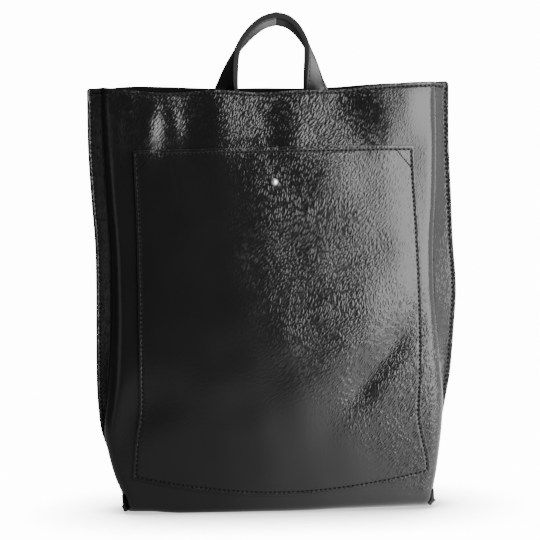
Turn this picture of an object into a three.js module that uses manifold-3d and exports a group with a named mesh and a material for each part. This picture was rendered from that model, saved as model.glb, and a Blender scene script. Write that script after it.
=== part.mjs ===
// A convertible backpack: an open-top leather tote with a front pocket, a top handle
// and two shoulder straps. Millimetres, +Z up, front toward -Y, origin on the surface
// that the bag stands on, under the middle of its base.
import * as THREE from 'three';
import { mergeVertices } from 'three/addons/utils/BufferGeometryUtils.js';
import Module from 'manifold-3d';

const wasm = await Module();
wasm.setup();

// Driving dimensions of the bag
const BAG_HEIGHT = 380;
const HALF_WIDTH = 163.5;
const HALF_DEPTH = 25;
const FACE_SWELL = 9;
const FOLD_RELIEF = 3;
const LEATHER = 1.8;
const CLEARANCE = 0.3;
const SEAM_ALLOWANCE = 4.7;
const SEAM_BEND = 2.6;
const HEM_WIDTH = 12;
const HEM_SAG = 8.4;
const BASE_RADIUS = 8;
const BASE_LIFT = 3.3;
const LIFT_HEIGHT = 60;
const LIP_HEIGHT = 14;
const CORNER_RADIUS = 2;
const EAR_ROOT = 16.5;
const EAR_REACH = 2.9;
const EAR_TIP = 6.6;
const EAR_FOOT = 2.4;

// Front pocket and its stud
const POCKET_MARGIN = 38.9;
const POCKET_TOP = 320.6;
const POCKET_BOTTOM = 15.4;
const POCKET_CORNER_RISE = 16.6;
const POCKET_LEATHER = 1.6;
const POCKET_GAP = 0.6;
const POCKET_SLACK = 2.4;
const STUD_DROP = 31;
const STUD_BALL_RADIUS = 3.4;
const STUD_NECK_RADIUS = 1.6;
const STUD_FLANGE_RADIUS = 3.6;
const STUD_FLANGE = 0.8;
const STUD_SCREW_RADIUS = 5;
const STUD_SCREW_HEAD = 1.2;
const STUD_HOLE_PLAY = 0.7;
const SLIT_WIDTH = 0.9;
const SLIT_LENGTH = 5.5;

// Top handle and shoulder straps
const HANDLE_WIDTH = 25;
const HANDLE_THICKNESS = 5.2;
const HANDLE_RISE = 59.6;
const HANDLE_HALF_SPAN = 42.7;
const HANDLE_SHIFT = -1.3;
const HANDLE_LEAN = 6.3;
const HANDLE_ROLL = 5;
const HANDLE_STEP = 16;
const STRAP_WIDTH = 22;
const STRAP_THICKNESS = 3.6;
const STRAP_TOP = 346;
const STRAP_FOOT = 34;
const STRAP_TOP_HALF_SPAN = 18;
const STRAP_FOOT_HALF_SPAN = 108;
const STRAP_BOW = 46;

// Plan sections by height. rise is a share of the height, tips and folds are shares of the
// half width on each side, depth of the half depth, swell of the face's swell, and rounds, the
// radii of the folds, are shares of the section's own depth. A tip is the raw edge of a side
// seam, and a fold is where a face turns round into the side.
const SECTIONS = [
  {
    rise: 0.000, tipLeft: 0.859, tipRight: 0.829, foldLeft: 0.836, foldRight: 0.807,
    depth: 1.00, swell: 0.25, roundLeft: 0.50, roundRight: 0.35,
  },
  {
    rise: 0.030, tipLeft: 0.868, tipRight: 0.838, foldLeft: 0.845, foldRight: 0.816,
    depth: 0.99, swell: 0.38, roundLeft: 0.50, roundRight: 0.35,
  },
  {
    rise: 0.084, tipLeft: 0.910, tipRight: 0.856, foldLeft: 0.895, foldRight: 0.842,
    depth: 0.95, swell: 0.58, roundLeft: 0.52, roundRight: 0.38,
  },
  {
    rise: 0.142, tipLeft: 0.947, tipRight: 0.874, foldLeft: 0.931, foldRight: 0.863,
    depth: 0.93, swell: 0.75, roundLeft: 0.55, roundRight: 0.40,
  },
  {
    rise: 0.190, tipLeft: 0.981, tipRight: 0.891, foldLeft: 0.950, foldRight: 0.878,
    depth: 0.91, swell: 0.86, roundLeft: 0.60, roundRight: 0.42,
  },
  {
    rise: 0.255, tipLeft: 0.997, tipRight: 0.922, foldLeft: 0.937, foldRight: 0.889,
    depth: 0.88, swell: 0.94, roundLeft: 0.66, roundRight: 0.44,
  },
  {
    rise: 0.313, tipLeft: 1.001, tipRight: 0.948, foldLeft: 0.926, foldRight: 0.884,
    depth: 0.86, swell: 1.00, roundLeft: 0.70, roundRight: 0.46,
  },
  {
    rise: 0.426, tipLeft: 0.998, tipRight: 0.975, foldLeft: 0.907, foldRight: 0.867,
    depth: 0.82, swell: 1.05, roundLeft: 0.72, roundRight: 0.46,
  },
  {
    rise: 0.510, tipLeft: 0.994, tipRight: 0.990, foldLeft: 0.901, foldRight: 0.857,
    depth: 0.78, swell: 1.08, roundLeft: 0.72, roundRight: 0.46,
  },
  {
    rise: 0.626, tipLeft: 0.994, tipRight: 0.978, foldLeft: 0.901, foldRight: 0.861,
    depth: 0.74, swell: 1.06, roundLeft: 0.72, roundRight: 0.46,
  },
  {
    rise: 0.740, tipLeft: 1.010, tipRight: 0.973, foldLeft: 0.914, foldRight: 0.878,
    depth: 0.70, swell: 0.95, roundLeft: 0.70, roundRight: 0.46,
  },
  {
    rise: 0.853, tipLeft: 1.022, tipRight: 0.967, foldLeft: 0.926, foldRight: 0.886,
    depth: 0.64, swell: 0.75, roundLeft: 0.68, roundRight: 0.46,
  },
  {
    rise: 1.000, tipLeft: 1.022, tipRight: 0.973, foldLeft: 0.932, foldRight: 0.890,
    depth: 0.56, swell: 0.45, roundLeft: 0.66, roundRight: 0.44,
  },
];

// The hem's line: across is a share of the half width, and front and back are how far each
// panel's hem dips there, as shares of the sag. It rises where the share is negative.
const HEM = [
  { across: -1.00, front: 0.00, back: 0.00 },
  { across: -0.82, front: 0.42, back: -0.38 },
  { across: -0.60, front: 0.94, back: -0.32 },
  { across: -0.30, front: 0.80, back: -0.03 },
  { across: -0.07, front: 1.14, back: 0.00 },
  { across: 0.16, front: 0.97, back: 0.12 },
  { across: 0.37, front: 0.98, back: 0.07 },
  { across: 0.57, front: 0.63, back: -0.15 },
  { across: 0.75, front: 0.38, back: -0.20 },
  { across: 0.88, front: 0.26, back: -0.08 },
  { across: 1.00, front: 0.00, back: 0.00 },
];

// How far the base's front edge lifts off the floor toward its corners, as shares of the lift.
// across is a share of the half width.
const FRONT_EDGE = [
  { across: -0.80, lift: 0.95 },
  { across: -0.69, lift: 0.75 },
  { across: -0.62, lift: 0.30 },
  { across: -0.54, lift: 0.00 },
  { across: 0.05, lift: 0.00 },
  { across: 0.30, lift: 0.40 },
  { across: 0.50, lift: 0.66 },
  { across: 0.80, lift: 1.00 },
];

// Soft folds and dents of a face. across is a share of the half width and rise of the height,
// for the middle of the fold, wide and long are its half sizes as the same shares, turn is its
// slant from upright in degrees, and out is its height as a share of the fold relief.
const FRONT_FOLDS = [
  { across: -0.72, rise: 0.88, wide: 0.10, long: 0.09, turn: 12, out: 0.90 },
  { across: -0.46, rise: 0.93, wide: 0.10, long: 0.10, turn: 4, out: -0.60 },
  { across: -0.29, rise: 0.93, wide: 0.10, long: 0.09, turn: -4, out: 0.80 },
  { across: -0.02, rise: 0.94, wide: 0.10, long: 0.08, turn: -4, out: -0.50 },
  { across: 0.10, rise: 0.87, wide: 0.08, long: 0.07, turn: -6, out: 0.50 },
  { across: 0.36, rise: 0.93, wide: 0.12, long: 0.09, turn: -12, out: -0.50 },
  { across: 0.56, rise: 0.95, wide: 0.10, long: 0.09, turn: -12, out: 0.40 },
  { across: -0.86, rise: 0.70, wide: 0.12, long: 0.22, turn: -4, out: -0.40 },
  { across: 0.53, rise: 0.33, wide: 0.10, long: 0.17, turn: 38, out: -0.60 },
  { across: 0.34, rise: 0.38, wide: 0.13, long: 0.18, turn: 32, out: 0.40 },
  { across: -0.80, rise: 0.21, wide: 0.14, long: 0.12, turn: 30, out: -0.60 },
  { across: -0.88, rise: 0.27, wide: 0.08, long: 0.10, turn: 24, out: 0.40 },
];
const BACK_FOLDS = [
  { across: -0.50, rise: 0.86, wide: 0.16, long: 0.16, turn: 10, out: 0.50 },
  { across: 0.52, rise: 0.84, wide: 0.15, long: 0.18, turn: -12, out: -0.50 },
  { across: -0.62, rise: 0.24, wide: 0.16, long: 0.16, turn: -30, out: -0.60 },
  { across: 0.64, rise: 0.26, wide: 0.15, long: 0.18, turn: 26, out: 0.50 },
];

// Pocket edges by height: rise is a share of the pocket's height, left and right are shares
// of its half width.
const POCKET_EDGES = [
  { rise: 0.00, left: 1.045, right: 1.060 },
  { rise: 0.05, left: 1.034, right: 1.053 },
  { rise: 0.12, left: 1.018, right: 1.020 },
  { rise: 0.17, left: 0.997, right: 1.002 },
  { rise: 0.22, left: 0.985, right: 1.004 },
  { rise: 0.30, left: 0.982, right: 1.020 },
  { rise: 0.52, left: 0.979, right: 1.029 },
  { rise: 0.75, left: 0.981, right: 1.015 },
  { rise: 0.91, left: 0.990, right: 0.998 },
  { rise: 1.00, left: 0.994, right: 0.995 },
];

// One leg of the handle, from its sewn end to the top of the arch. run is a share of the leg's
// length, rise a share of the handle's rise above the hem, reach a share of its half span, and
// turn is how far the strap has turned from edge-on, in degrees: 90 lies flat on the panel.
// The shift and the lean move the arch to the right, at its foot and at its top, and the roll
// tips the strap's far edge down where it is edge-on.
const HANDLE_LEG = [
  { run: 0.000, rise: -0.95, reach: 1.000, turn: 90 },
  { run: 0.113, rise: -0.70, reach: 1.000, turn: 90 },
  { run: 0.234, rise: -0.43, reach: 1.000, turn: 90 },
  { run: 0.339, rise: -0.20, reach: 0.965, turn: 70 },
  { run: 0.430, rise: 0.00, reach: 0.918, turn: 46 },
  { run: 0.522, rise: 0.20, reach: 0.868, turn: 31 },
  { run: 0.605, rise: 0.38, reach: 0.815, turn: 19 },
  { run: 0.681, rise: 0.54, reach: 0.744, turn: 10 },
  { run: 0.762, rise: 0.70, reach: 0.612, turn: 4 },
  { run: 0.842, rise: 0.84, reach: 0.450, turn: 1 },
  { run: 0.922, rise: 0.95, reach: 0.245, turn: 0 },
  { run: 1.000, rise: 1.00, reach: 0.000, turn: 0 },
];

// A shoulder strap from its top end to its foot. run is a share of the way down and out,
// off is how far it stands off the back as a share of its bow.
const STRAP_RUN = [
  { run: 0.00, off: 0.00 },
  { run: 0.10, off: 0.00 },
  { run: 0.18, off: 0.16 },
  { run: 0.30, off: 0.62 },
  { run: 0.42, off: 0.93 },
  { run: 0.54, off: 1.00 },
  { run: 0.66, off: 0.86 },
  { run: 0.78, off: 0.50 },
  { run: 0.87, off: 0.12 },
  { run: 0.92, off: 0.00 },
  { run: 1.00, off: 0.00 },
];

// Shares that shape the small forms
const BASE_SIDE_SHARE = 0.12;
const BASE_LAP_SHARE = 0.01;
const LAP_THIN_SHARE = 0.6;
const BACK_SWELL_SHARE = 0.7;
const FLAT_SHARE = 0.25;
const HANDLE_LEAN_POWER = 1.5;
const STRAP_CORNER_SHARE = 0.28;
const POCKET_CURVE = 1.8;
const STUD_SINK_SHARE = 0.8;

// Mesh fineness
const FACE_COLUMNS = 17;
const WALL_ROWS = 16;
const ARC_STEPS = 4;
const BASE_STEPS = 3;
const POCKET_COLUMNS = 16;
const POCKET_ROWS = 16;
const BAND_STEPS = 28;
const ROUND_SIDES = 16;

// Derived sizes
const POCKET_HALF_WIDTH = HALF_WIDTH - POCKET_MARGIN;
const SEAM_OFFSET = (LEATHER + CLEARANCE) / 2;
const HEM_START = BAG_HEIGHT - HEM_WIDTH;
const RAD = Math.PI / 180;

const leather = { color: 0x17171a, roughness: 0.42, metalness: 0 };
const strapLeather = { color: 0x141417, roughness: 0.48, metalness: 0 };
const polishedMetal = { color: 0xd4d6d8, roughness: 0.15, metalness: 1 };

const FRONT = { toward: -1, folds: FRONT_FOLDS, swellShare: 1, turnUnder: 1, hem: 'front', lift: BASE_LIFT };
const BACK = {
  toward: 1, folds: BACK_FOLDS, swellShare: BACK_SWELL_SHARE, turnUnder: 0, hem: 'back', lift: 0,
};

/** A column of a table at a height or share, on a smooth curve through its rows. */
function readTable(rows, key, column, at) {
  const last = rows.length - 1;
  const clamped = Math.min(Math.max(at, rows[0][key]), rows[last][key]);
  let i = 0;
  while (i < last - 1 && clamped > rows[i + 1][key]) i += 1;
  const slope = (k) => {
    const before = rows[Math.max(k - 1, 0)];
    const after = rows[Math.min(k + 1, last)];
    return (after[column] - before[column]) / (after[key] - before[key]);
  };
  const span = rows[i + 1][key] - rows[i][key];
  const t = (clamped - rows[i][key]) / span;
  const rest = 1 - t;
  return rows[i][column] * (1 + 2 * t) * rest * rest
    + rows[i + 1][column] * t * t * (3 - 2 * t)
    + slope(i) * span * t * rest * rest
    - slope(i + 1) * span * t * t * rest;
}

/** How far the base's round edge has drawn the section in, at a height. */
function baseInset(z) {
  const below = 1 - Math.min(Math.max((z - LEATHER / 2) / BASE_RADIUS, 0), 1);
  return BASE_RADIUS * (1 - Math.sqrt(1 - below * below));
}

/** The sizes of a face's plan section at a height, on the left (-1) or right (+1) side. */
function sideSizes(face, side, z) {
  const at = (column) => readTable(SECTIONS, 'rise', column, z / BAG_HEIGHT);
  const name = side < 0 ? 'Left' : 'Right';
  const inset = baseInset(z);
  const tip = at(`tip${name}`) * HALF_WIDTH - inset * BASE_SIDE_SHARE;
  const depth = at('depth') * HALF_DEPTH - inset * face.turnUnder;
  return {
    tip,
    root: tip - SEAM_ALLOWANCE,
    fold: at(`fold${name}`) * HALF_WIDTH - inset * BASE_SIDE_SHARE,
    depth,
    round: at(`round${name}`) * depth,
    swell: at('swell') * FACE_SWELL * face.swellShare,
  };
}

/** How far the folds of a face raise it: each is a bump that fades like a bell curve. */
function foldHeight(face, x, z) {
  let height = 0;
  for (const fold of face.folds) {
    const dx = x - fold.across * HALF_WIDTH;
    const dz = z - fold.rise * BAG_HEIGHT;
    const cos = Math.cos(fold.turn * RAD);
    const sin = Math.sin(fold.turn * RAD);
    const acrossFold = (dx * cos - dz * sin) / (fold.wide * HALF_WIDTH);
    const alongFold = (dx * sin + dz * cos) / (fold.long * BAG_HEIGHT);
    height += fold.out * Math.exp(-acrossFold * acrossFold - alongFold * alongFold);
  }
  return height * FOLD_RELIEF;
}

/** Distance of a face's middle layer from the plane of the side seams, at x and height z. */
function faceDepth(face, x, z) {
  const size = sideSizes(face, x < 0 ? -1 : 1, z);
  const share = x / size.fold;
  const past = Math.min(Math.max((Math.abs(x) - size.fold + size.round) / size.round, 0), 1);
  const turned = size.round * (1 - Math.sqrt(1 - past * past));
  return size.depth + size.swell * (1 - share * share) + foldHeight(face, x, z) * (1 - past) - turned;
}

/** Points of one side of the plan section, from the raw edge inward to the start of the face. */
function sidePoints(face, side, z) {
  const size = sideSizes(face, side, z);
  const nearTop = Math.max((z - BAG_HEIGHT + CORNER_RADIUS) / CORNER_RADIUS, 0);
  const rounded = CORNER_RADIUS * (1 - Math.sqrt(1 - nearTop * nearTop));
  const edge = new THREE.Vector2(size.tip - rounded, SEAM_OFFSET);
  const root = new THREE.Vector2(size.root, SEAM_OFFSET);
  const arc = [];
  for (let i = 0; i <= ARC_STEPS; i += 1) {
    const x = size.fold - size.round * (1 - Math.cos(i / ARC_STEPS * Math.PI / 2));
    arc.push(new THREE.Vector2(x, faceDepth(face, side * x, z)));
  }
  const bendStart = new THREE.Vector2(size.root + SEAM_BEND, SEAM_OFFSET);
  const bendEnd = root.clone().addScaledVector(arc[0].clone().sub(root).normalize(), SEAM_BEND);
  const bend = new THREE.QuadraticBezierCurve(bendStart, root, bendEnd).getPoints(2);
  const middle = bendEnd.clone().lerp(arc[0], 0.5);
  return [edge, ...bend, middle, ...arc].map((point) => new THREE.Vector2(side * point.x, point.y));
}

/** How much a point of a face moves down where the hem dips, less where the base's edge lifts. */
function drop(face, x, depth, z) {
  const across = x / HALF_WIDTH;
  const up = Math.max((z - POCKET_TOP) / (BAG_HEIGHT - POCKET_TOP), 0);
  const low = Math.max(1 - z / LIFT_HEIGHT, 0);
  const out = Math.min(Math.max((depth / HALF_DEPTH - FLAT_SHARE) / (1 - FLAT_SHARE), 0), 1);
  const lift = Math.max(readTable(FRONT_EDGE, 'across', 'lift', across), 0) * face.lift * low * low * out;
  return readTable(HEM, 'across', face.hem, across) * HEM_SAG * up * up - lift;
}

/** A row of grid points of a panel from left to right. */
function sectionRow(face, z) {
  const left = sidePoints(face, -1, z);
  const right = sidePoints(face, 1, z).reverse();
  const from = left[left.length - 1].x;
  const to = right[0].x;
  const middle = [];
  for (let i = 1; i <= FACE_COLUMNS; i += 1) {
    const x = from + (to - from) * i / (FACE_COLUMNS + 1);
    middle.push(new THREE.Vector2(x, faceDepth(face, x, z)));
  }
  return [...left, ...middle, ...right].map((point) => (
    new THREE.Vector3(point.x, face.toward * point.y, z - drop(face, point.x, point.y, z))));
}

/** A panel's row in the order that makes its outer side the side that the grid faces. */
function outwardRow(face, z) {
  const row = sectionRow(face, z);
  return face.toward < 0 ? row : row.reverse();
}

/** Unit normals of a grid of points: the direction across times the direction up. */
function gridNormals(grid) {
  const lastRow = grid.length - 1;
  const lastColumn = grid[0].length - 1;
  return grid.map((row, r) => row.map((point, c) => {
    const across = row[Math.min(c + 1, lastColumn)].clone().sub(row[Math.max(c - 1, 0)]);
    const up = grid[Math.min(r + 1, lastRow)][c].clone().sub(grid[Math.max(r - 1, 0)][c]);
    return across.cross(up).normalize();
  }));
}

/** A grid moved along its normals by an offset for each row and column. */
function movedGrid(grid, offset) {
  const normals = gridNormals(grid);
  return grid.map((row, r) => row.map((point, c) => (
    point.clone().addScaledVector(normals[r][c], offset(r, c)))));
}

/** A closed wall between two grids of the same size, the outer one facing out. */
function wall(outer, inner) {
  const rows = outer.length;
  const columns = outer[0].length;
  const positions = [outer, inner].flat(2).flatMap((point) => point.toArray());
  const index = [];
  const layer = rows * columns;
  const quad = (a, b, c, d) => index.push(a, b, c, a, c, d);
  for (let r = 0; r < rows - 1; r += 1) {
    for (let c = 0; c < columns - 1; c += 1) {
      const a = r * columns + c;
      quad(a, a + 1, a + columns + 1, a + columns);
      quad(layer + a, layer + a + columns, layer + a + columns + 1, layer + a + 1);
    }
    const start = r * columns;
    const end = start + columns - 1;
    quad(start, start + columns, layer + start + columns, layer + start);
    quad(end, layer + end, layer + end + columns, end + columns);
  }
  const top = (rows - 1) * columns;
  for (let c = 0; c < columns - 1; c += 1) {
    quad(c, layer + c, layer + c + 1, c + 1);
    quad(top + c, top + c + 1, layer + top + c + 1, layer + top + c);
  }
  return closedGeometry(positions, index);
}

/** A geometry from positions and an index, without triangles that have shrunk to a line. */
function closedGeometry(positions, index) {
  const kept = [];
  for (let i = 0; i < index.length; i += 3) {
    const [a, b, c] = index.slice(i, i + 3);
    if (a !== b && b !== c && a !== c) kept.push(a, b, c);
  }
  const geometry = new THREE.BufferGeometry();
  geometry.setAttribute('position', new THREE.Float32BufferAttribute(positions, 3));
  geometry.setIndex(kept);
  return geometry;
}

/** A three.js geometry with its shared vertices merged and only positions left. */
function welded(geometry) {
  const bare = geometry.clone();
  bare.deleteAttribute('normal');
  bare.deleteAttribute('uv');
  const merged = mergeVertices(bare);
  return closedGeometry(Array.from(merged.attributes.position.array), Array.from(merged.index.array));
}

/** The solid of a closed geometry, ready to join and cut. */
function solid(geometry) {
  return new wasm.Manifold(new wasm.Mesh({
    numProp: 3,
    vertProperties: new Float32Array(geometry.attributes.position.array),
    triVerts: new Uint32Array(geometry.index.array),
  }));
}

/** The geometry of a joined or cut solid. */
function geometryOf(body) {
  const mesh = body.getMesh();
  return closedGeometry(Array.from(mesh.vertProperties), Array.from(mesh.triVerts));
}

/** A panel's wall: one layer of leather, doubled inward along the hem. */
function panelWall(face) {
  const heights = [];
  for (let i = 0; i < BASE_STEPS; i += 1) {
    heights.push(LEATHER / 2 + BASE_RADIUS * (1 - Math.cos(i / BASE_STEPS * Math.PI / 2)));
  }
  const foot = LEATHER / 2 + BASE_RADIUS;
  for (let i = 0; i <= WALL_ROWS; i += 1) {
    heights.push(foot + (HEM_START - foot) * i / WALL_ROWS);
  }
  heights.push(HEM_START + CLEARANCE, HEM_START + HEM_WIDTH / 2, BAG_HEIGHT);
  const grid = heights.map((z) => outwardRow(face, z));
  const seamColumns = 4;
  const lastColumn = grid[0].length - 1;
  const doubled = (r, c) => heights[r] > HEM_START && c >= seamColumns && c <= lastColumn - seamColumns;
  const outer = movedGrid(grid, () => LEATHER / 2);
  const inner = movedGrid(grid, (r, c) => -LEATHER / 2 - (doubled(r, c) ? LEATHER : 0));
  return solid(wall(outer, inner));
}

/** Half of a bottom corner seam's allowance, folded down on the side: a wedge along its foot. */
function ear(face, side) {
  const wallAt = (z) => side * (sideSizes(face, side, z).fold + LEATHER / 2);
  const insideAt = (z) => side * Math.min(sideSizes(face, side, z).root, sideSizes(face, side, z).fold);
  const corners = [
    new THREE.Vector2(wallAt(EAR_ROOT), EAR_ROOT),
    new THREE.Vector2(wallAt(EAR_TIP) + side * EAR_REACH, EAR_TIP + LEATHER / 2),
    new THREE.Vector2(wallAt(EAR_TIP) + side * (EAR_REACH - LEATHER / 2), EAR_TIP - LEATHER / 2),
    new THREE.Vector2(insideAt(EAR_FOOT), EAR_FOOT),
    new THREE.Vector2(insideAt(EAR_ROOT), EAR_ROOT - LEATHER),
  ];
  const length = sideSizes(face, side, EAR_ROOT).depth - LEATHER * 2;
  const strip = new THREE.ExtrudeGeometry(new THREE.Shape(corners), { depth: length, bevelEnabled: false });
  strip.rotateX(Math.PI / 2);
  const start = face.toward < 0 ? -CLEARANCE / 2 : length + CLEARANCE / 2;
  strip.translate(0, start, 0);
  return solid(welded(strip));
}

/** The flat base sheet and its lip, turned up inside the back panel. */
function baseSheet() {
  const seamColumns = 3;
  const lipGrid = [0, 0.2, 0.5, 1].map((share) => {
    const z = LEATHER / 2 + (LIP_HEIGHT - LEATHER / 2) * share;
    return outwardRow(BACK, z).slice(seamColumns, -seamColumns);
  });
  const reach = LEATHER / 2 + CLEARANCE;
  const lip = wall(movedGrid(lipGrid, () => -reach), movedGrid(lipGrid, () => -reach - LEATHER));
  const lap = LEATHER / 2 + BASE_RADIUS * BASE_LAP_SHARE;
  const front = sectionRow(FRONT, lap).slice(seamColumns, -seamColumns);
  const rear = movedGrid(lipGrid, () => -reach - LEATHER / 3)[0].reverse();
  const flatStart = -HALF_DEPTH * FLAT_SHARE;
  const sheet = [
    { thick: 1, row: rear.map((point) => new THREE.Vector3(point.x, point.y, LEATHER / 2)) },
    {
      thick: 1,
      row: front.map((point, i) => (
        new THREE.Vector3((point.x + rear[i].x) / 2, Math.max(flatStart, point.y / 2), LEATHER / 2))),
    },
    { thick: LAP_THIN_SHARE, row: front },
  ];
  const half = new THREE.Vector3(0, 0, LEATHER / 2);
  const shifted = (way) => sheet.map(({ thick, row }) => (
    row.map((point) => point.clone().addScaledVector(half, way * thick))));
  return solid(wall(shifted(-1), shifted(1))).add(solid(lip));
}

/** A point of the pocket's middle layer: u runs -1 to 1 across and v 0 to 1 up. */
function pocketPoint(u, v) {
  const half = readTable(POCKET_EDGES, 'rise', u < 0 ? 'left' : 'right', v) * POCKET_HALF_WIDTH;
  const x = u * half;
  const curved = POCKET_CORNER_RISE * Math.abs(u) ** POCKET_CURVE * (1 - v);
  const z = POCKET_BOTTOM + (POCKET_TOP - POCKET_BOTTOM) * v + curved;
  const slack = POCKET_SLACK * (1 - u ** 4) * v * v;
  const off = LEATHER / 2 + POCKET_GAP + slack + POCKET_LEATHER / 2;
  return new THREE.Vector3(x, -faceDepth(FRONT, x, z) - off, z);
}

const studHeight = POCKET_TOP - STUD_DROP;
const studPanelDepth = faceDepth(FRONT, 0, studHeight) + LEATHER / 2;
const pocketShare = (studHeight - POCKET_BOTTOM) / (POCKET_TOP - POCKET_BOTTOM);
const studPocketDepth = -pocketPoint(0, pocketShare).y + POCKET_LEATHER / 2;

/** A rod of a radius through the leather where the stud sits, along Y. */
function studBore(radius) {
  const rod = new THREE.CylinderGeometry(radius, radius, HALF_DEPTH, ROUND_SIDES);
  rod.translate(0, -studPanelDepth, studHeight);
  return solid(welded(rod));
}

/** The pocket: a sheet over the face, with a round hole and a slit for the stud. */
function pocket() {
  const grid = [];
  for (let r = 0; r <= POCKET_ROWS; r += 1) {
    const row = [];
    for (let c = 0; c <= POCKET_COLUMNS; c += 1) {
      row.push(pocketPoint(c / POCKET_COLUMNS * 2 - 1, r / POCKET_ROWS));
    }
    grid.push(row);
  }
  const half = POCKET_LEATHER / 2;
  const sheet = solid(wall(movedGrid(grid, () => half), movedGrid(grid, () => -half)));
  const slit = new THREE.BoxGeometry(SLIT_WIDTH, HALF_DEPTH, SLIT_LENGTH);
  const holeRadius = STUD_NECK_RADIUS + STUD_HOLE_PLAY;
  slit.translate(0, -studPanelDepth, studHeight - holeRadius - SLIT_LENGTH / 2 + SLIT_WIDTH / 2);
  return sheet.subtract(studBore(holeRadius)).subtract(solid(welded(slit)));
}

/** The stud: a screw head inside the panel, a flange outside it, a neck and a ball head. */
function stud() {
  const near = (radius) => [-radius, 0, radius].map((dz) => faceDepth(FRONT, 0, studHeight + dz));
  const inside = Math.min(...near(STUD_SCREW_RADIUS)) - LEATHER / 2 - CLEARANCE;
  const flangeFoot = Math.max(...near(STUD_FLANGE_RADIUS)) + LEATHER / 2 + CLEARANCE;
  const flangeTop = flangeFoot + STUD_FLANGE;
  const ballCentre = studPocketDepth + CLEARANCE + STUD_BALL_RADIUS * STUD_SINK_SHARE;
  const profile = [
    new THREE.Vector2(0, inside - STUD_SCREW_HEAD),
    new THREE.Vector2(STUD_SCREW_RADIUS, inside - STUD_SCREW_HEAD),
    new THREE.Vector2(STUD_SCREW_RADIUS, inside),
    new THREE.Vector2(STUD_NECK_RADIUS, inside),
    new THREE.Vector2(STUD_NECK_RADIUS, flangeFoot),
    new THREE.Vector2(STUD_FLANGE_RADIUS, flangeFoot),
    new THREE.Vector2(STUD_FLANGE_RADIUS, flangeTop),
    new THREE.Vector2(STUD_NECK_RADIUS, flangeTop),
  ];
  const neckAngle = Math.asin(STUD_NECK_RADIUS / STUD_BALL_RADIUS);
  const ballSteps = 7;
  for (let i = 0; i < ballSteps; i += 1) {
    const angle = neckAngle + (Math.PI - neckAngle) * i / ballSteps;
    profile.push(new THREE.Vector2(
      STUD_BALL_RADIUS * Math.sin(angle),
      ballCentre - STUD_BALL_RADIUS * Math.cos(angle),
    ));
  }
  profile.push(new THREE.Vector2(0, ballCentre + STUD_BALL_RADIUS));
  const turned = new THREE.LatheGeometry(profile, ROUND_SIDES);
  turned.rotateX(Math.PI);
  turned.translate(0, 0, studHeight);
  return solid(welded(turned));
}

/** A strap: a section with broken corners carried through stations of place and direction. */
function band(stations, width, thickness) {
  const corner = thickness * STRAP_CORNER_SHARE;
  const a = width / 2;
  const b = thickness / 2;
  const profile = [
    [a, corner - b], [a, b - corner], [a - corner, b], [corner - a, b],
    [-a, b - corner], [-a, corner - b], [corner - a, -b], [a - corner, -b],
  ];
  const sides = profile.length;
  const last = stations.length - 1;
  const positions = [];
  stations.forEach((station, i) => {
    const ahead = stations[Math.min(i + 1, last)].place;
    const along = ahead.clone().sub(stations[Math.max(i - 1, 0)].place).normalize();
    const flat = along.clone().cross(station.across).normalize();
    const across = flat.clone().cross(along);
    for (const [wide, thick] of profile) {
      positions.push(station.place.clone().addScaledVector(across, wide).addScaledVector(flat, thick));
    }
  });
  const index = [];
  for (let i = 0; i < last; i += 1) {
    for (let k = 0; k < sides; k += 1) {
      const from = i * sides + k;
      const to = i * sides + (k + 1) % sides;
      index.push(from, to, to + sides, from, to + sides, from + sides);
    }
  }
  for (let k = 1; k < sides - 1; k += 1) {
    index.push(0, k + 1, k);
    index.push(last * sides, last * sides + k, last * sides + k + 1);
  }
  return closedGeometry(positions.flatMap((point) => point.toArray()), index);
}

/** The handle: an arch whose legs turn flat and are sewn inside the back panel. */
function handle() {
  const stations = [];
  const seatAt = (reach, z) => {
    const spots = [reach - HANDLE_WIDTH / 2, reach, reach + HANDLE_WIDTH / 2];
    const depths = spots.flatMap((x) => [
      faceDepth(BACK, HANDLE_SHIFT + x, z), faceDepth(BACK, HANDLE_SHIFT - x, z),
    ]);
    const step = Math.min(Math.max((z - HEM_START) / HANDLE_STEP + 1, 0), 1);
    return Math.min(...depths) - LEATHER * (0.5 + step) - CLEARANCE;
  };
  const roll = -Math.tan(HANDLE_ROLL * RAD);
  for (let i = 0; i <= BAND_STEPS; i += 1) {
    const way = i / BAND_STEPS * 2 - 1;
    const side = Math.sign(way) || 1;
    const at = (column) => readTable(HANDLE_LEG, 'run', column, 1 - Math.abs(way));
    const turn = at('turn') * RAD;
    const rise = at('rise');
    const z = BAG_HEIGHT + rise * HANDLE_RISE;
    const lean = HANDLE_SHIFT + HANDLE_LEAN * Math.max(rise, 0) ** HANDLE_LEAN_POWER;
    const half = (HANDLE_WIDTH * Math.cos(turn) + HANDLE_THICKNESS * Math.sin(turn)) / 2;
    const y = seatAt(HANDLE_HALF_SPAN, Math.min(z, BAG_HEIGHT)) - half;
    stations.push({
      place: new THREE.Vector3(side * at('reach') * HANDLE_HALF_SPAN + lean, y, z),
      across: new THREE.Vector3(side * Math.sin(turn), Math.cos(turn), roll * Math.cos(turn)),
    });
  }
  return band(stations, HANDLE_WIDTH, HANDLE_THICKNESS);
}

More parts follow.
